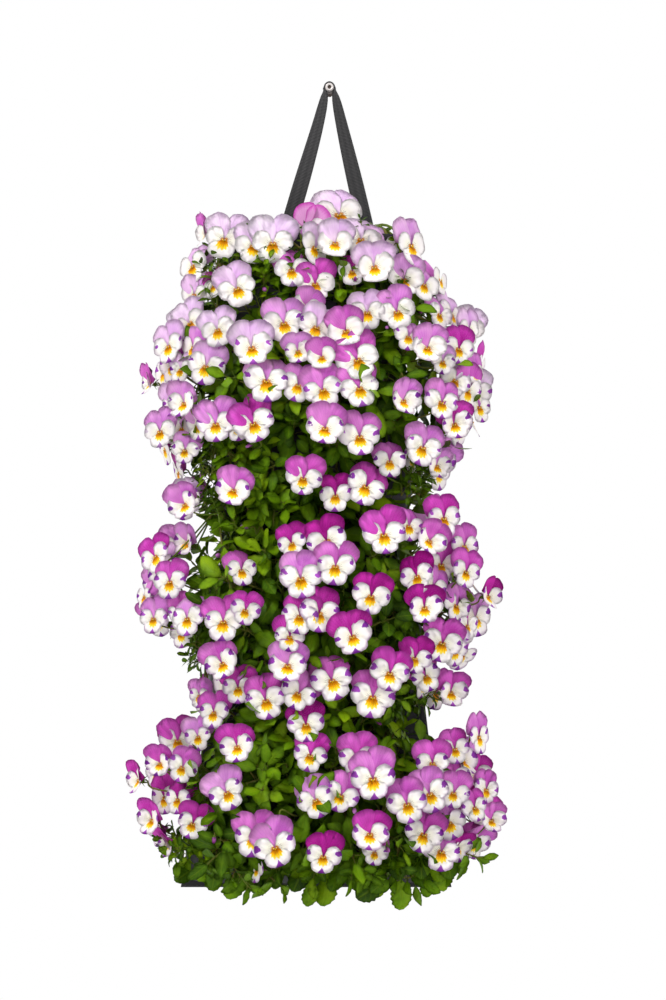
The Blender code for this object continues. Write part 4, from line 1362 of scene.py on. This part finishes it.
print("a stem has", STEM_STEPS, "steps, and a flower's stalk", HOOK_STEPS + STALK_STEPS)

# %% The twelve plants
def own_spots(kept, tier, plant):
    return [spot for home, spot in kept if home is tier and tier.plant_at(spot.place.x) == plant]


for tier in tiers:
    for plant in PLANTS:
        name = f"viola_{tier.name}_{plant}"
        own_shoots, own_flowers, own_buds = (own_spots(kept, tier, plant) for kept in (shoots, flowers, buds))
        stalks = plant_stalks(tier, plant, own_shoots, own_flowers + own_buds)
        chance = np.random.default_rng(len(made_pieces))
        cups = [flower_cup(spot, chance) for spot in own_flowers]
        foliage, blooms = f"{name}_foliage", f"{name}_blooms"
        settle(scatter(f"{name}_leaves", own_shoots, shoot_home, leaves), "viola_leaves", foliage)
        settle(stalks.build(f"{name}_stalks", leaves), "viola_leaves", blooms)
        settle(scatter(f"{name}_sepals", cups + own_buds, green_home, leaves), "viola_leaves", blooms)
        settle(scatter(f"{name}_petals", own_flowers, flower_home, petals), "viola_petals", blooms)
        print(f"{name}: {len(own_shoots)} shoots, {len(own_flowers)} flowers, {len(own_buds)} buds")
print("plant pieces:", len(made_pieces))

# %% [markdown]
# ## The pouch
#
# The pouch is cut from black coated fabric. Its back is one tall sheet that widens towards the hem. Each
# pocket is a second sheet, sewn to it and filled with compost, so it bulges and its mouth gathers into soft
# pleats. The weave, the coating's sheen and a few pale water marks are too fine for a mesh, so they come
# from the material.

# %% Fabric finishes
THREAD_TWIST = 2600.0  # turns of a sewing thread's twist, in radians a metre


def woven(name, colour, pale, pitch, sheen):
    """A plain weave: two crossing waves of threads, over soft wrinkles."""
    finish = Finish(name)
    uv, place = finish.uv(), finish.place()
    warp = (uv.axis(0) * (2 * pi / pitch)).sine()
    weft = (uv.axis(1) * (2 * pi / pitch)).sine()
    threads = warp * weft
    wrinkles = finish.noise(place, 22.0, 4.0)
    dust = finish.noise(place, 6.0, 6.0).step(0.50, 0.78) * finish.noise(place, 160.0, 2.0).step(0.35, 0.65)
    finish.feed(Base_Color=(dust * 0.35 + threads.step(-1.0, 1.0) * 0.2).mix(colour, pale))
    finish.feed(Roughness=sheen + dust * 0.2 + (wrinkles - 0.5) * 0.2)
    finish.bump(threads * 0.12 + wrinkles * 3.0, 0.5, 0.0012)
    return finish


fabric = woven("pouch_fabric", rgb(0.016, 0.017, 0.019), rgb(0.075, 0.078, 0.080), 0.0016, 0.42)
tape = woven("hem_tape", rgb(0.010, 0.010, 0.011), rgb(0.040, 0.040, 0.042), 0.0011, 0.68)
thread = Finish("thread", Roughness=0.6)
twist = (thread.place().axis(2) * THREAD_TWIST + thread.place().axis(0) * THREAD_TWIST).sine().step(-0.6, 0.8)
thread.feed(Base_Color=twist.mix(rgb(0.018, 0.018, 0.020), rgb(0.060, 0.060, 0.064)))
print("fabric finishes:", fabric.material.name, tape.material.name, thread.material.name)

# %% [markdown]
# The back sheet hangs straight down and hardly waves, so it is laid out as a grid of rows, each as wide as
# the cut sheet is at that height, and raised by two slow waves.

# %% The back sheet
SHEET_THICK, SHEET_WAVE = 0.0012, 0.0007
SHEET_ROWS, SHEET_COLUMNS = 96, 36
TOP_HALF, SHOULDER_HALF, SHOULDER_DROP = 0.092, 0.064, 0.022  # half widths, and the cut-off corners
FLARE_POWER = 2.5  # how late the sheet widens on its way down
AREA_STEPS = 200
STAND_UP = Matrix(((1, 0, 0, 0), (0, 0, -1, 0), (0, 1, 0, 0), (0, 0, 0, 1)))  # z looks to the front

panel_low, panel_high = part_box("back_panel")
pouch_x, bottom_half = (panel_low.x + panel_high.x) / 2, (panel_high.x - panel_low.x) / 2
panel_front_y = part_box("pocket_top")[1].y


def panel_half(z):
    """Half the sheet's width at a height, with its cut-off shoulders."""
    down = (panel_high.z - z) / (panel_high.z - panel_low.z)
    half = TOP_HALF + (bottom_half - TOP_HALF) * max(down, 0) ** FLARE_POWER
    shoulder = min(1.0, (panel_high.z - z) / SHOULDER_DROP)
    return SHOULDER_HALF * (1 - shoulder) + half * shoulder


def metre_uvs(shape):
    """Fabric that is cut flat keeps its threads straight: u is across it and v up it, in metres."""
    shape.uvs = [(point.x, point.z) for point in shape.points]


def panel_grid():
    grid = []
    for r in range(SHEET_ROWS + 1):
        z = panel_low.z + (panel_high.z - panel_low.z) * r / SHEET_ROWS
        row = []
        for c in range(SHEET_COLUMNS + 1):
            x = pouch_x + panel_half(z) * (2 * c / SHEET_COLUMNS - 1)
            wave = 0.5 + 0.5 * sin(38 * x + 21 * z) * sin(27 * z - 12 * x + 1)
            row.append(Vector((x, z, SHEET_THICK + SHEET_WAVE * wave)))
        grid.append(row)
    return grid


sheet_shape = Shape()
sheet_shape.blade(panel_grid(), SHEET_THICK, 0.0, STAND_UP)
metre_uvs(sheet_shape)
panel = sheet_shape.build("back_panel_cloth", fabric)
settle(panel, "pouch_fabric", "back_panel")
panel_tall = panel_high.z - panel_low.z
strips = [2 * panel_half(panel_low.z + (k + 0.5) / AREA_STEPS * panel_tall) for k in range(AREA_STEPS)]
panel_area = sum(strips) * (panel_tall / AREA_STEPS)
print(f"back sheet: {panel_area * 1e4:.0f} square cm")

# %% [markdown]
# A tape is folded flat round the sheet's two sides and its bottom, and sewn down with two rows of stitches.

# %% Hem tape
TAPE_WIDE, TAPE_THICK = 0.009, 0.0010
SIDE_STEPS, BOTTOM_STEPS, TAPE_ROWS = 110, 44, 5


def hem_line(inset):
    """Down the left edge, along the bottom and up the right edge, moved inwards by inset."""
    top, bottom = panel_high.z - SHOULDER_DROP - inset, panel_low.z + inset
    heights = [top + (bottom - top) * i / SIDE_STEPS for i in range(SIDE_STEPS + 1)]
    left = [(pouch_x - panel_half(z) + inset, z) for z in heights]
    right = [(pouch_x + panel_half(z) - inset, z) for z in reversed(heights)]
    (x0, z0), (x1, _) = left[-1], right[0]
    base = [(x0 + (x1 - x0) * i / BOTTOM_STEPS, z0) for i in range(1, BOTTOM_STEPS)]
    return left + base + right


tape_rows = []
for k in range(TAPE_ROWS):
    share = k / (TAPE_ROWS - 1)
    rise = TAPE_THICK * (0.7 + 0.3 * sin(pi * share))
    tape_rows.append([Vector((x, z, -panel_front_y + rise)) for x, z in hem_line(TAPE_WIDE * share)])
tape_shape = Shape()
tape_shape.blade(tape_rows, TAPE_THICK * 0.7, 0.0, STAND_UP)
metre_uvs(tape_shape)
hem = tape_shape.build("hem_tape_cloth", tape)
settle(hem, "hem_tape", "hem_tape")
print("hem tape:", len(tape_rows[0]), "steps round the sheet")

# %% [markdown]
# A stitch is a short bent tube. The same scatter tree that copies the flowers puts one at every even step
# along a seam.

# %% Stitches
STITCH_PITCH, STITCH_LONG, STITCH_R = 0.0042, 0.0029, 0.0003


def along(line, pitch):
    """(point, direction) at even steps along a line of 3-D points."""
    steps, carry = [], pitch / 2
    for here, after in zip(line, line[1:]):
        length = (after - here).length
        while carry < length:
            steps.append((here.lerp(after, carry / length), (after - here).normalized()))
            carry += pitch
        carry -= length
    return steps


def make_stitch(home):
    stitch = Shape()
    path = [Vector((x * STITCH_LONG / 2, 0, z * STITCH_R)) for x, z in ((-1, -0.9), (0, 0.7), (1, -0.9))]
    stitch.tube(path, [STITCH_R * s for s in (0.8, 1.15, 0.8)], 4)
    return stitch.build("stitch", thread, home)


stitch_home = template_home("stitches")
make_stitch(stitch_home)


def sew(name, lines, facing, slot, node):
    """Rows of stitches along lines, on a face that looks this way."""
    spots = [
        Spot(point, facing, Vector(facing).cross(way), 0)
        for line in lines
        for point, way in along(line, STITCH_PITCH)
    ]
    settle(scatter(name, spots, stitch_home, thread), slot, node)
    print(name, len(spots), "stitches")


seam_y = panel_front_y - TAPE_THICK
seams = [[Vector((x, seam_y, z)) for x, z in hem_line(TAPE_WIDE * share)] for share in (0.2, 0.8)]
sew("hem_stitches", seams, FRONT, "hem_tape", "hem_tape")

# %% [markdown]
# A pocket is a bag with a wall of even thickness. Its plan is a rounded box whose back lies flat on the
# sheet. A cloth simulation would be slow and hard to steer, so the bag is lofted from levels: the gathered
# mouth, the full belly and the floor, outside and then inside again.

# %% Levels of a pocket
POCKET_SQUARE = 3.2  # roundness of its plan: 2 is an ellipse, large is a box
# How far down the wall, and there the width and depth as shares of the most.
POCKET_LEVELS = ((0.0, 0.970, 0.960), (0.4, 1.0, 1.0), (0.85, 1.0, 0.995), (1.0, 0.955, 0.930))
PLEATS, PLEAT_DEEP = 26, 0.0016
RING_POINTS, WALL_LEVELS = 144, 22
FLOOR_SHARES = (0.9, 0.7, 0.45, 0.2)  # the floor's rings run inwards, so it lies folded in three layers


def pocket_size(share):
    """(width, depth) of a pocket, as shares of its most, this far down its wall."""
    for (s0, w0, d0), (s1, w1, d1) in zip(POCKET_LEVELS, POCKET_LEVELS[1:]):
        if share <= s1:
            t = (share - s0) / (s1 - s0)
            t = t * t * (3 - 2 * t)
            return w0 + (w1 - w0) * t, d0 + (d1 - d0) * t
    return POCKET_LEVELS[-1][1:]


def pocket_ring(box, share, inset, shrink=1.0, pleats=1.0):
    """One level of a pocket: share is how far down the wall it is, and shrink draws the floor's rings in."""
    low, high = box
    wide, deep = pocket_size(share)
    half = ((high.x - low.x) / 2 * wide - inset) * shrink
    depth = (high.y - low.y) * deep - 2 * inset
    middle = Vector(((low.x + high.x) / 2, high.y - inset - depth / 2, 0))
    ring = []
    for k in range(RING_POINTS):
        angle = 2 * pi * k / RING_POINTS
        a = signed_power(cos(angle), 2 / POCKET_SQUARE)
        b = signed_power(sin(angle), 2 / POCKET_SQUARE)
        front = max(0.0, -sin(angle)) ** 0.5
        fold = PLEAT_DEEP * pleats * front * (0.5 + 0.5 * sin(PLEATS * angle + 2.2 * sin(3 * angle)))
        outwards = Vector((cos(angle), sin(angle), 0))
        ring.append(middle + Vector((half * a, depth / 2 * b * shrink, 0)) + outwards * fold)
    return ring


def pocket_wall(box, inset, lowest):
    """(height, ring) pairs up a pocket's wall, from its floor to its mouth."""
    low, high = box
    wall = []
    for r in range(WALL_LEVELS, -1, -1):
        share = r / WALL_LEVELS
        gather = (1 - share) ** 1.6 + 0.35 * sin(pi * share)
        z = max(high.z - (high.z - low.z) * share, lowest)
        wall.append((z, pocket_ring(box, share, inset, 1.0, gather)))
    return wall


def pocket_floor(box, inset, z):
    """(height, ring) pairs across a pocket's floor, before its wall."""
    return [(z, pocket_ring(box, 1.0, inset, shrink, 0.0)) for shrink in FLOOR_SHARES]


print("points round a pocket:", RING_POINTS)

# %% [markdown]
# Rings become a skin when each one is joined to the next. A bag is closed to a point in the middle of its
# floor, and the rolled binding on its mouth is closed round to its first ring. The threads run straight up
# and round, so u is measured along each ring and v is the height.

# %% Skin
def skin(order, closed_tube=False):
    """A closed shape from rings at given heights: to a point at both ends, or round to the first ring."""
    shape, points, uvs, faces = Shape(), [], [], []
    for z, ring in order:
        across = 0.0
        for k, point in enumerate(ring):
            across += (point - ring[k - 1]).length if k else 0.0
            points.append(Vector((point.x, point.y, z)))
            uvs.append((across, z))
    count, last = len(order[0][1]), len(order) - 1
    for r in range(last + 1 if closed_tube else last):
        for k in range(count):
            a, b, up = r * count + k, r * count + (k + 1) % count, (r + 1) % (last + 1) * count
            faces.append((a, b, up + (k + 1) % count, up + k))
    for r in () if closed_tube else (0, last):
        z, ring = order[r]
        middle = sum(ring, Vector()) / count
        points.append(Vector((middle.x, middle.y, z)))
        uvs.append((0.0, z))
        for k in range(count):
            a, b = r * count + k, r * count + (k + 1) % count
            faces.append((a, b, len(points) - 1) if r else (b, a, len(points) - 1))
    shape.add(points, faces, uvs)
    return shape

# %% Pockets and their bindings
POCKET_WALL = 0.0015
BINDING_TALL, BINDING_OUT = 0.009, 0.0009
# Round the mouth's binding: (down from the rim, out from the wall), as shares of its height and thickness.
BINDING_ROUND = (
    (1.0, 0.0), (1.0, 0.9), (0.7, 1.2), (0.3, 1.2), (-0.05, 0.9), (-0.14, 0.0),
    (-0.14, -1.7), (-0.05, -2.6), (0.3, -2.9), (0.7, -2.9), (1.0, -2.6), (1.0, -1.7),
)
for tier, box in pockets.items():
    low, high = box
    outside = pocket_floor(box, 0.0, low.z) + pocket_wall(box, 0.0, low.z)
    inside = pocket_floor(box, POCKET_WALL, low.z + POCKET_WALL)
    inside += pocket_wall(box, POCKET_WALL, low.z + POCKET_WALL)
    bag = skin(outside + inside[::-1]).build(f"pocket_{tier}_cloth", fabric)
    settle(bag, "pouch_fabric", f"pocket_{tier}")
    binding = []
    for down, out in BINDING_ROUND:
        share = max(0.0, down) * BINDING_TALL / (high.z - low.z)
        ring = pocket_ring(box, share, -out * BINDING_OUT)
        ring = [Vector((p.x, min(p.y, panel_front_y), 0)) for p in ring]
        binding.append((high.z - down * BINDING_TALL, ring))
    rim = skin(binding[::-1], closed_tube=True).build(f"pocket_{tier}_binding", tape)
    settle(rim, "hem_tape", f"pocket_{tier}")
print("pockets:", len(pockets))

# %% [markdown]
# ## The strap
#
# One length of ribbed webbing is sewn to the sheet at both ends and hangs over the screw. Its ribs are
# shaped, because they show at its edges, and the finish also paints their crests lighter as a painted
# highlight. The yarns between them are too fine for that, so the finish has them.

# %% Webbing
RIB_PITCH, RIB_DEEP = 0.0015, 0.16
YARN_WAVES = 5200.0  # radians a metre across the band

webbing = Finish("strap_webbing", Roughness=0.86)
u, v = webbing.uv().axis(0), webbing.uv().axis(1)
rib = (v * (2 * pi / RIB_PITCH)).sine()
yarn = (u * YARN_WAVES + rib * 1.5).sine()
fuzz = webbing.noise(webbing.place(), 900.0, 2.0)
# Painted highlight on the rib crests, mixed with the webbing's own yarn and fuzz pattern.
lit = (rib * 0.7 + yarn * 0.35 + fuzz * 1.1).step(-0.4, 1.9)
webbing.feed(Base_Color=lit.mix(rgb(0.008, 0.008, 0.009), rgb(0.068, 0.066, 0.067)))
webbing.bump(yarn * 0.4 + fuzz, 0.6, 0.0003)
print("ribs to a centimetre:", round(0.01 / RIB_PITCH, 1))

# %% [markdown]
# The band lies edge on over the screw and turns flat on its way down. A simulated strap would settle as it
# likes, so its middle line and its turn are given station by station instead, from the screw to each sewn
# end.

# %% Course of the strap
STRAP_WIDE, STRAP_THICK = 0.017, 0.0020
STRAP_SEAM_X = {-1: -0.0425, 1: 0.0375}
STRAP_SEAM_LONG, STRAP_SEAM_RISE = 0.0125, 0.004
STRAP_DRAW = {-1: 0.0030, 1: 0.0010}  # each strand hangs this much further in, just below the screw
# The band's turn in degrees, at shares of the way down a strand: 0 is edge on and 90 is flat.
TURN_SHARES, TURNS = (0, 0.025, 0.05, 0.09, 0.15, 0.25, 0.5, 0.75, 1), (4, 14, 23, 31, 38, 45, 62, 80, 90)
SEWN_GAP = 0.0002  # between the sheet and the sewn ends
SLICES, OVER_SLICES, SEWN_SLICES = 300, 30, 26

strap_low, strap_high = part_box("hanging_strap")
strap_y = strap_low.y + STRAP_WIDE / 2
over_reach = strap_high.z - STRAP_THICK / 2


def strand(side):
    """(middle, turn) down one strand, from the screw to its sewn end: 0 is edge on, 90 degrees is flat."""
    sewn_y = panel_front_y - STRAP_THICK / 2 - SEWN_GAP
    start = Vector((side * (over_reach + STRAP_WIDE / 2 * sin(radians(TURNS[0]))), strap_y, 0.0))
    seam_top = Vector((STRAP_SEAM_X[side], sewn_y, panel_high.z + STRAP_SEAM_RISE))
    stations = []
    for i in range(1, SLICES + 1):
        t = i / SLICES
        middle = start.lerp(seam_top, t)
        middle.x -= side * STRAP_DRAW[side] * sin(pi * t ** 0.5)
        stations.append((middle, radians(np.interp(t, TURN_SHARES, TURNS))))
    end = Vector((STRAP_SEAM_X[side], sewn_y, panel_high.z - STRAP_SEAM_LONG))
    stations += [(seam_top.lerp(end, i / SEWN_SLICES), radians(90)) for i in range(1, SEWN_SLICES + 1)]
    return stations


def over_screw():
    """(middle, turn) round the top of the screw, from left to right."""
    stations = []
    for k in range(OVER_SLICES + 1):
        angle = pi - pi * k / OVER_SLICES
        aside = STRAP_WIDE / 2 * sin(radians(TURNS[0])) * abs(cos(angle))
        middle = Vector(((over_reach + aside) * cos(angle), strap_y, over_reach * sin(angle)))
        stations.append((middle, radians(TURNS[0] * abs(cos(angle)))))
    return stations


line = strand(-1)[::-1] + over_screw() + strand(1)
print("stations of the strap:", len(line))

# %% [markdown]
# Thin and thick slices are set square to the line, one after another, and joined. Where the band is bent
# over the screw, its edges stand up a little.

# %% The strap
STRAP_CUP = 0.0013  # how far the edges stand up
SLICE_SIDES = 14
SLICE_FLAT, SLICE_ROUND = 0.25, 0.6  # how square a slice is across, and through its thickness


def strap_slices(line):
    """(way along the strap, ring of points) for each station."""
    rings, run = [], 0.0
    for i, (point, turn) in enumerate(line):
        ahead = (line[min(i + 1, len(line) - 1)][0] - line[max(i - 1, 0)][0]).normalized()
        run += (point - line[i - 1][0]).length if i else 0.0
        sideways = ahead.cross(FRONT).normalized()
        sideways *= -1 if sideways.x * (i - len(line) / 2) < 0 else 1
        to_front = (FRONT - ahead * FRONT.dot(ahead)).normalized()
        wide = to_front * cos(turn) - sideways * sin(turn)
        flat = wide.cross(ahead).normalized()
        outward = flat if flat.dot(point - Vector((0, point.y, -over_reach))) > 0 else -flat
        cup = STRAP_CUP * max(0.0, outward.z) if point.z > 0 else 0.0
        ribbed = 1 + RIB_DEEP * cos(2 * pi * run / RIB_PITCH)
        ring = []
        for k in range(SLICE_SIDES):
            angle = 2 * pi * (k + 0.5) / SLICE_SIDES
            a, b = signed_power(cos(angle), SLICE_FLAT), signed_power(sin(angle), SLICE_ROUND)
            lift = outward * cup * a * a + flat * b * ribbed * STRAP_THICK / 2
            ring.append(point + wide * a * STRAP_WIDE / 2 + lift)
        rings.append((run, ring))
    return rings


def strap_shape(slices):
    shape = Shape()
    points = [point for _, ring in slices for point in ring]
    uvs = [(k * STRAP_WIDE / SLICE_SIDES, run) for run, _ in slices for k in range(SLICE_SIDES)]
    shape.add(points, tube_faces(len(slices), SLICE_SIDES), uvs)
    return shape


slices = strap_slices(line)
strap_long = slices[-1][0]
strap = strap_shape(slices).build("hanging_strap_webbing", webbing)
settle(strap, "strap_webbing", "hanging_strap")
print(f"strap: {strap_long * 1000:.0f} mm of webbing")

# %% [markdown]
# Each end of the strap is held by a box of stitches with a cross in it, as on any load-bearing strap.

# %% Box stitches
BOX_ASIDE, BOX_TOP, BOX_BOTTOM = 0.002, 0.0005, 0.0015  # in from the sides, the sheet's top and the end
seams = []
for x in STRAP_SEAM_X.values():
    y = panel_front_y - STRAP_THICK - STITCH_R
    half, top = STRAP_WIDE / 2 - BOX_ASIDE, panel_high.z - BOX_TOP
    bottom = panel_high.z - STRAP_SEAM_LONG + BOX_BOTTOM
    corners = [Vector((x + a * half, y, z)) for a, z in ((-1, top), (1, top), (1, bottom), (-1, bottom))]
    seams.append(corners + corners[:1])
    seams += [[corners[0], corners[2]], [corners[1], corners[3]]]
sew("strap_stitches", seams, FRONT, "hem_tape", "hanging_strap")

# %% [markdown]
# ## The screw
#
# The screw is turned steel: its profile is spun round its axis. The socket in its head has six flats, so
# the innermost rings of the profile follow a hexagon. Its thread sits in the wall.

# %% Steel
HEAD_TALL, SOCKET_FLAT = 0.0030, 0.00185
SOCKET_SHADE_DEEP = 0.0010  # the socket is painted dark as shade from this depth on
SHADE_EDGE = 0.0002  # the shank behind the head is painted dark as shade, with an edge this soft

screw_low, screw_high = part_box("wall_screw")
head_y, under_head_y = screw_low.y, screw_low.y + HEAD_TALL
steel = Finish("screw_steel", Metallic=1.0)
place = steel.place()
brushed = steel.noise(place, 500.0, 4.0)
smears = steel.noise(place, 130.0, 2.0)
radius = (place.axis(0) * place.axis(0) + place.axis(2) * place.axis(2)).math("SQRT")
# Painted shade: the socket darkens with its depth, and the shank under the head is dark too.
socket_shade = radius.step(SOCKET_FLAT * 1.25, SOCKET_FLAT * 1.05)
socket_shade = socket_shade * place.axis(1).step(head_y + SOCKET_SHADE_DEEP / 10, head_y + SOCKET_SHADE_DEEP)
shaded = socket_shade.math("MAXIMUM", place.axis(1).step(under_head_y - SHADE_EDGE, under_head_y))
bright = smears.step(0.3, 0.7).mix(rgb(0.54, 0.50, 0.485), rgb(0.64, 0.60, 0.58))
# The dark brown is painted shade, and the parts painted dark also lose their metal shine.
steel.feed(Base_Color=shaded.mix(bright, rgb(0.085, 0.060, 0.048)), Metallic=1 - shaded * 0.95)
steel.feed(Roughness=brushed * 0.15 + 0.42 + shaded * 0.2)
steel.bump(brushed, 0.15, 0.0001)
print(f"screw: {(screw_high.y - screw_low.y) * 1000:.0f} mm long")

# %% Profile of the screw
SCREW_SIDES, HEAD_STEPS = 72, 12
SCREW_R, THREAD_ROOT_R = 0.0035, 0.0026
SOCKET_DEEP, DRILL_TIP, TIP_R = 0.0022, 0.0004, 0.0003  # the socket, and the drill's mark in its bottom
HEAD_R, HEAD_FLAT_R, HEAD_EDGE = 0.00445, 0.0033, 0.0012  # a button with a flat top and a low edge
THREAD_PITCH, THREAD_STEP, PLAIN_SHANK, TAPER_LONG = 0.0022, 0.00030, 0.004, 0.007


def hexagon(angle):
    """How far a hexagon with flats one unit from its middle reaches at an angle."""
    return 1 / cos((angle % (pi / 3)) - pi / 6)


def thread_radius(y, angle):
    """The ridge climbs round the shank once in each pitch, and both grow thin at the tail."""
    phase = (y / THREAD_PITCH - angle / (2 * pi)) % 1.0
    crest = max(0.0, 1 - abs(phase - 0.5) / 0.32)
    taper = min(1.0, (screw_high.y - y) / TAPER_LONG)
    return (THREAD_ROOT_R + (SCREW_R - THREAD_ROOT_R) * crest) * (0.12 + 0.88 * taper)


def screw_profile():
    """(y, radius at an angle) from the socket's bottom, over the head and on to the tail."""
    socket = head_y + SOCKET_DEEP
    rings = [
        (socket + DRILL_TIP, lambda a: TIP_R),
        (socket, lambda a: SOCKET_FLAT * hexagon(a) * 0.96),
        (socket - 0.0001, lambda a: SOCKET_FLAT * hexagon(a)),
        (head_y + 0.00025, lambda a: SOCKET_FLAT * hexagon(a)),
        (head_y + 0.00005, lambda a: SOCKET_FLAT * hexagon(a) * 0.5 + 0.0012),
    ]
    for turn in np.linspace(0.0, pi / 2, HEAD_STEPS):
        reach = HEAD_FLAT_R + (HEAD_R - HEAD_FLAT_R) * sin(turn)
        rings.append((head_y + (HEAD_TALL - HEAD_EDGE) * (1 - cos(turn)), lambda a, r=reach: r))
    rings.append((under_head_y, lambda a: HEAD_R - 0.0003))
    rings.append((under_head_y, lambda a: SCREW_R + 0.0002))
    rings.append((PLAIN_SHANK - 0.0010, lambda a: SCREW_R))
    for y in np.arange(PLAIN_SHANK, screw_high.y - 0.0002, THREAD_STEP):
        rings.append((y, lambda a, y=y: thread_radius(y, a)))
    rings.append((screw_high.y, lambda a: TIP_R))
    return rings


angles = [2 * pi * k / SCREW_SIDES for k in range(SCREW_SIDES)]
rings = screw_profile()
order = [(y, [Vector((reach(a) * cos(a), reach(a) * sin(a), 0)) for a in angles]) for y, reach in rings]
turned = skin(order)
# It is spun round z, and then laid along y with its head to the front.
turned.points = [Vector((p.x, p.z, -p.y)) for p in turned.points]
screw = turned.build("wall_screw_steel", steel)
settle(screw, "screw_steel", "wall_screw")
print("rings of the screw:", len(rings), "and faces:", len(screw.data.polygons))

# %% [markdown]
# ## Compost and roots
#
# The compost and the root balls keep their plain solids, because almost nothing of them is seen. They get a
# finish of their own: crumbs of dark peat, and a net of pale roots along the edges between random cells.

# %% Compost and roots
compost = Finish("compost", Roughness=0.95)
place = compost.place()
crumbs, coarse = compost.noise(place, 420.0, 6.0), compost.noise(place, 90.0, 4.0)
peat = rgb(0.010, 0.007, 0.005), rgb(0.035, 0.022, 0.014), rgb(0.11, 0.075, 0.045)
compost.feed(Base_Color=ramp(crumbs * 0.6 + coarse * 0.5 - 0.05, *peat))
compost.bump(crumbs + coarse * 2.0, 1.0, 0.003)

roots = Finish("root_ball", Roughness=0.9)
place = roots.place()
cells = roots.node("ShaderNodeTexVoronoi", {"feature": "DISTANCE_TO_EDGE"}, Vector=place, Scale=170.0)
net = cells.step(0.09, 0.02) * roots.noise(place, 60.0, 2.0).step(0.35, 0.6)
soil_colour = roots.noise(place, 400.0, 5.0).mix(rgb(0.02, 0.013, 0.009), rgb(0.10, 0.065, 0.04))
roots.feed(Base_Color=net.mix(soil_colour, rgb(0.55, 0.45, 0.30)))
roots.bump(net * 0.6 + roots.noise(place, 300.0, 4.0), 0.8, 0.002)

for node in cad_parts:
    name = node["node"] if isinstance(node, dict) else node
    chosen = compost if name.startswith("soil_") else roots if name.endswith("_root_ball") else None
    if chosen:
        bpy.data.objects[name].data.materials[0] = chosen.material

# %% [markdown]
# ## Cloth facts
#
# The sheet, the pockets, the tape and the strap are cloth. For each pocket, the length round its middle, its
# height and its depth are worked out.

# %% Cloth
for tier, (low, high) in pockets.items():
    ring = pocket_ring((low, high), 0.5, 0.0, 1.0, 0.0)
    round_it = sum((point - ring[k - 1]).length for k, point in enumerate(ring))
    corners = [ring[k - 1].x * point.y - point.x * ring[k - 1].y for k, point in enumerate(ring)]
    tall, deep = high.z - low.z, high.y - low.y
    tall + deep
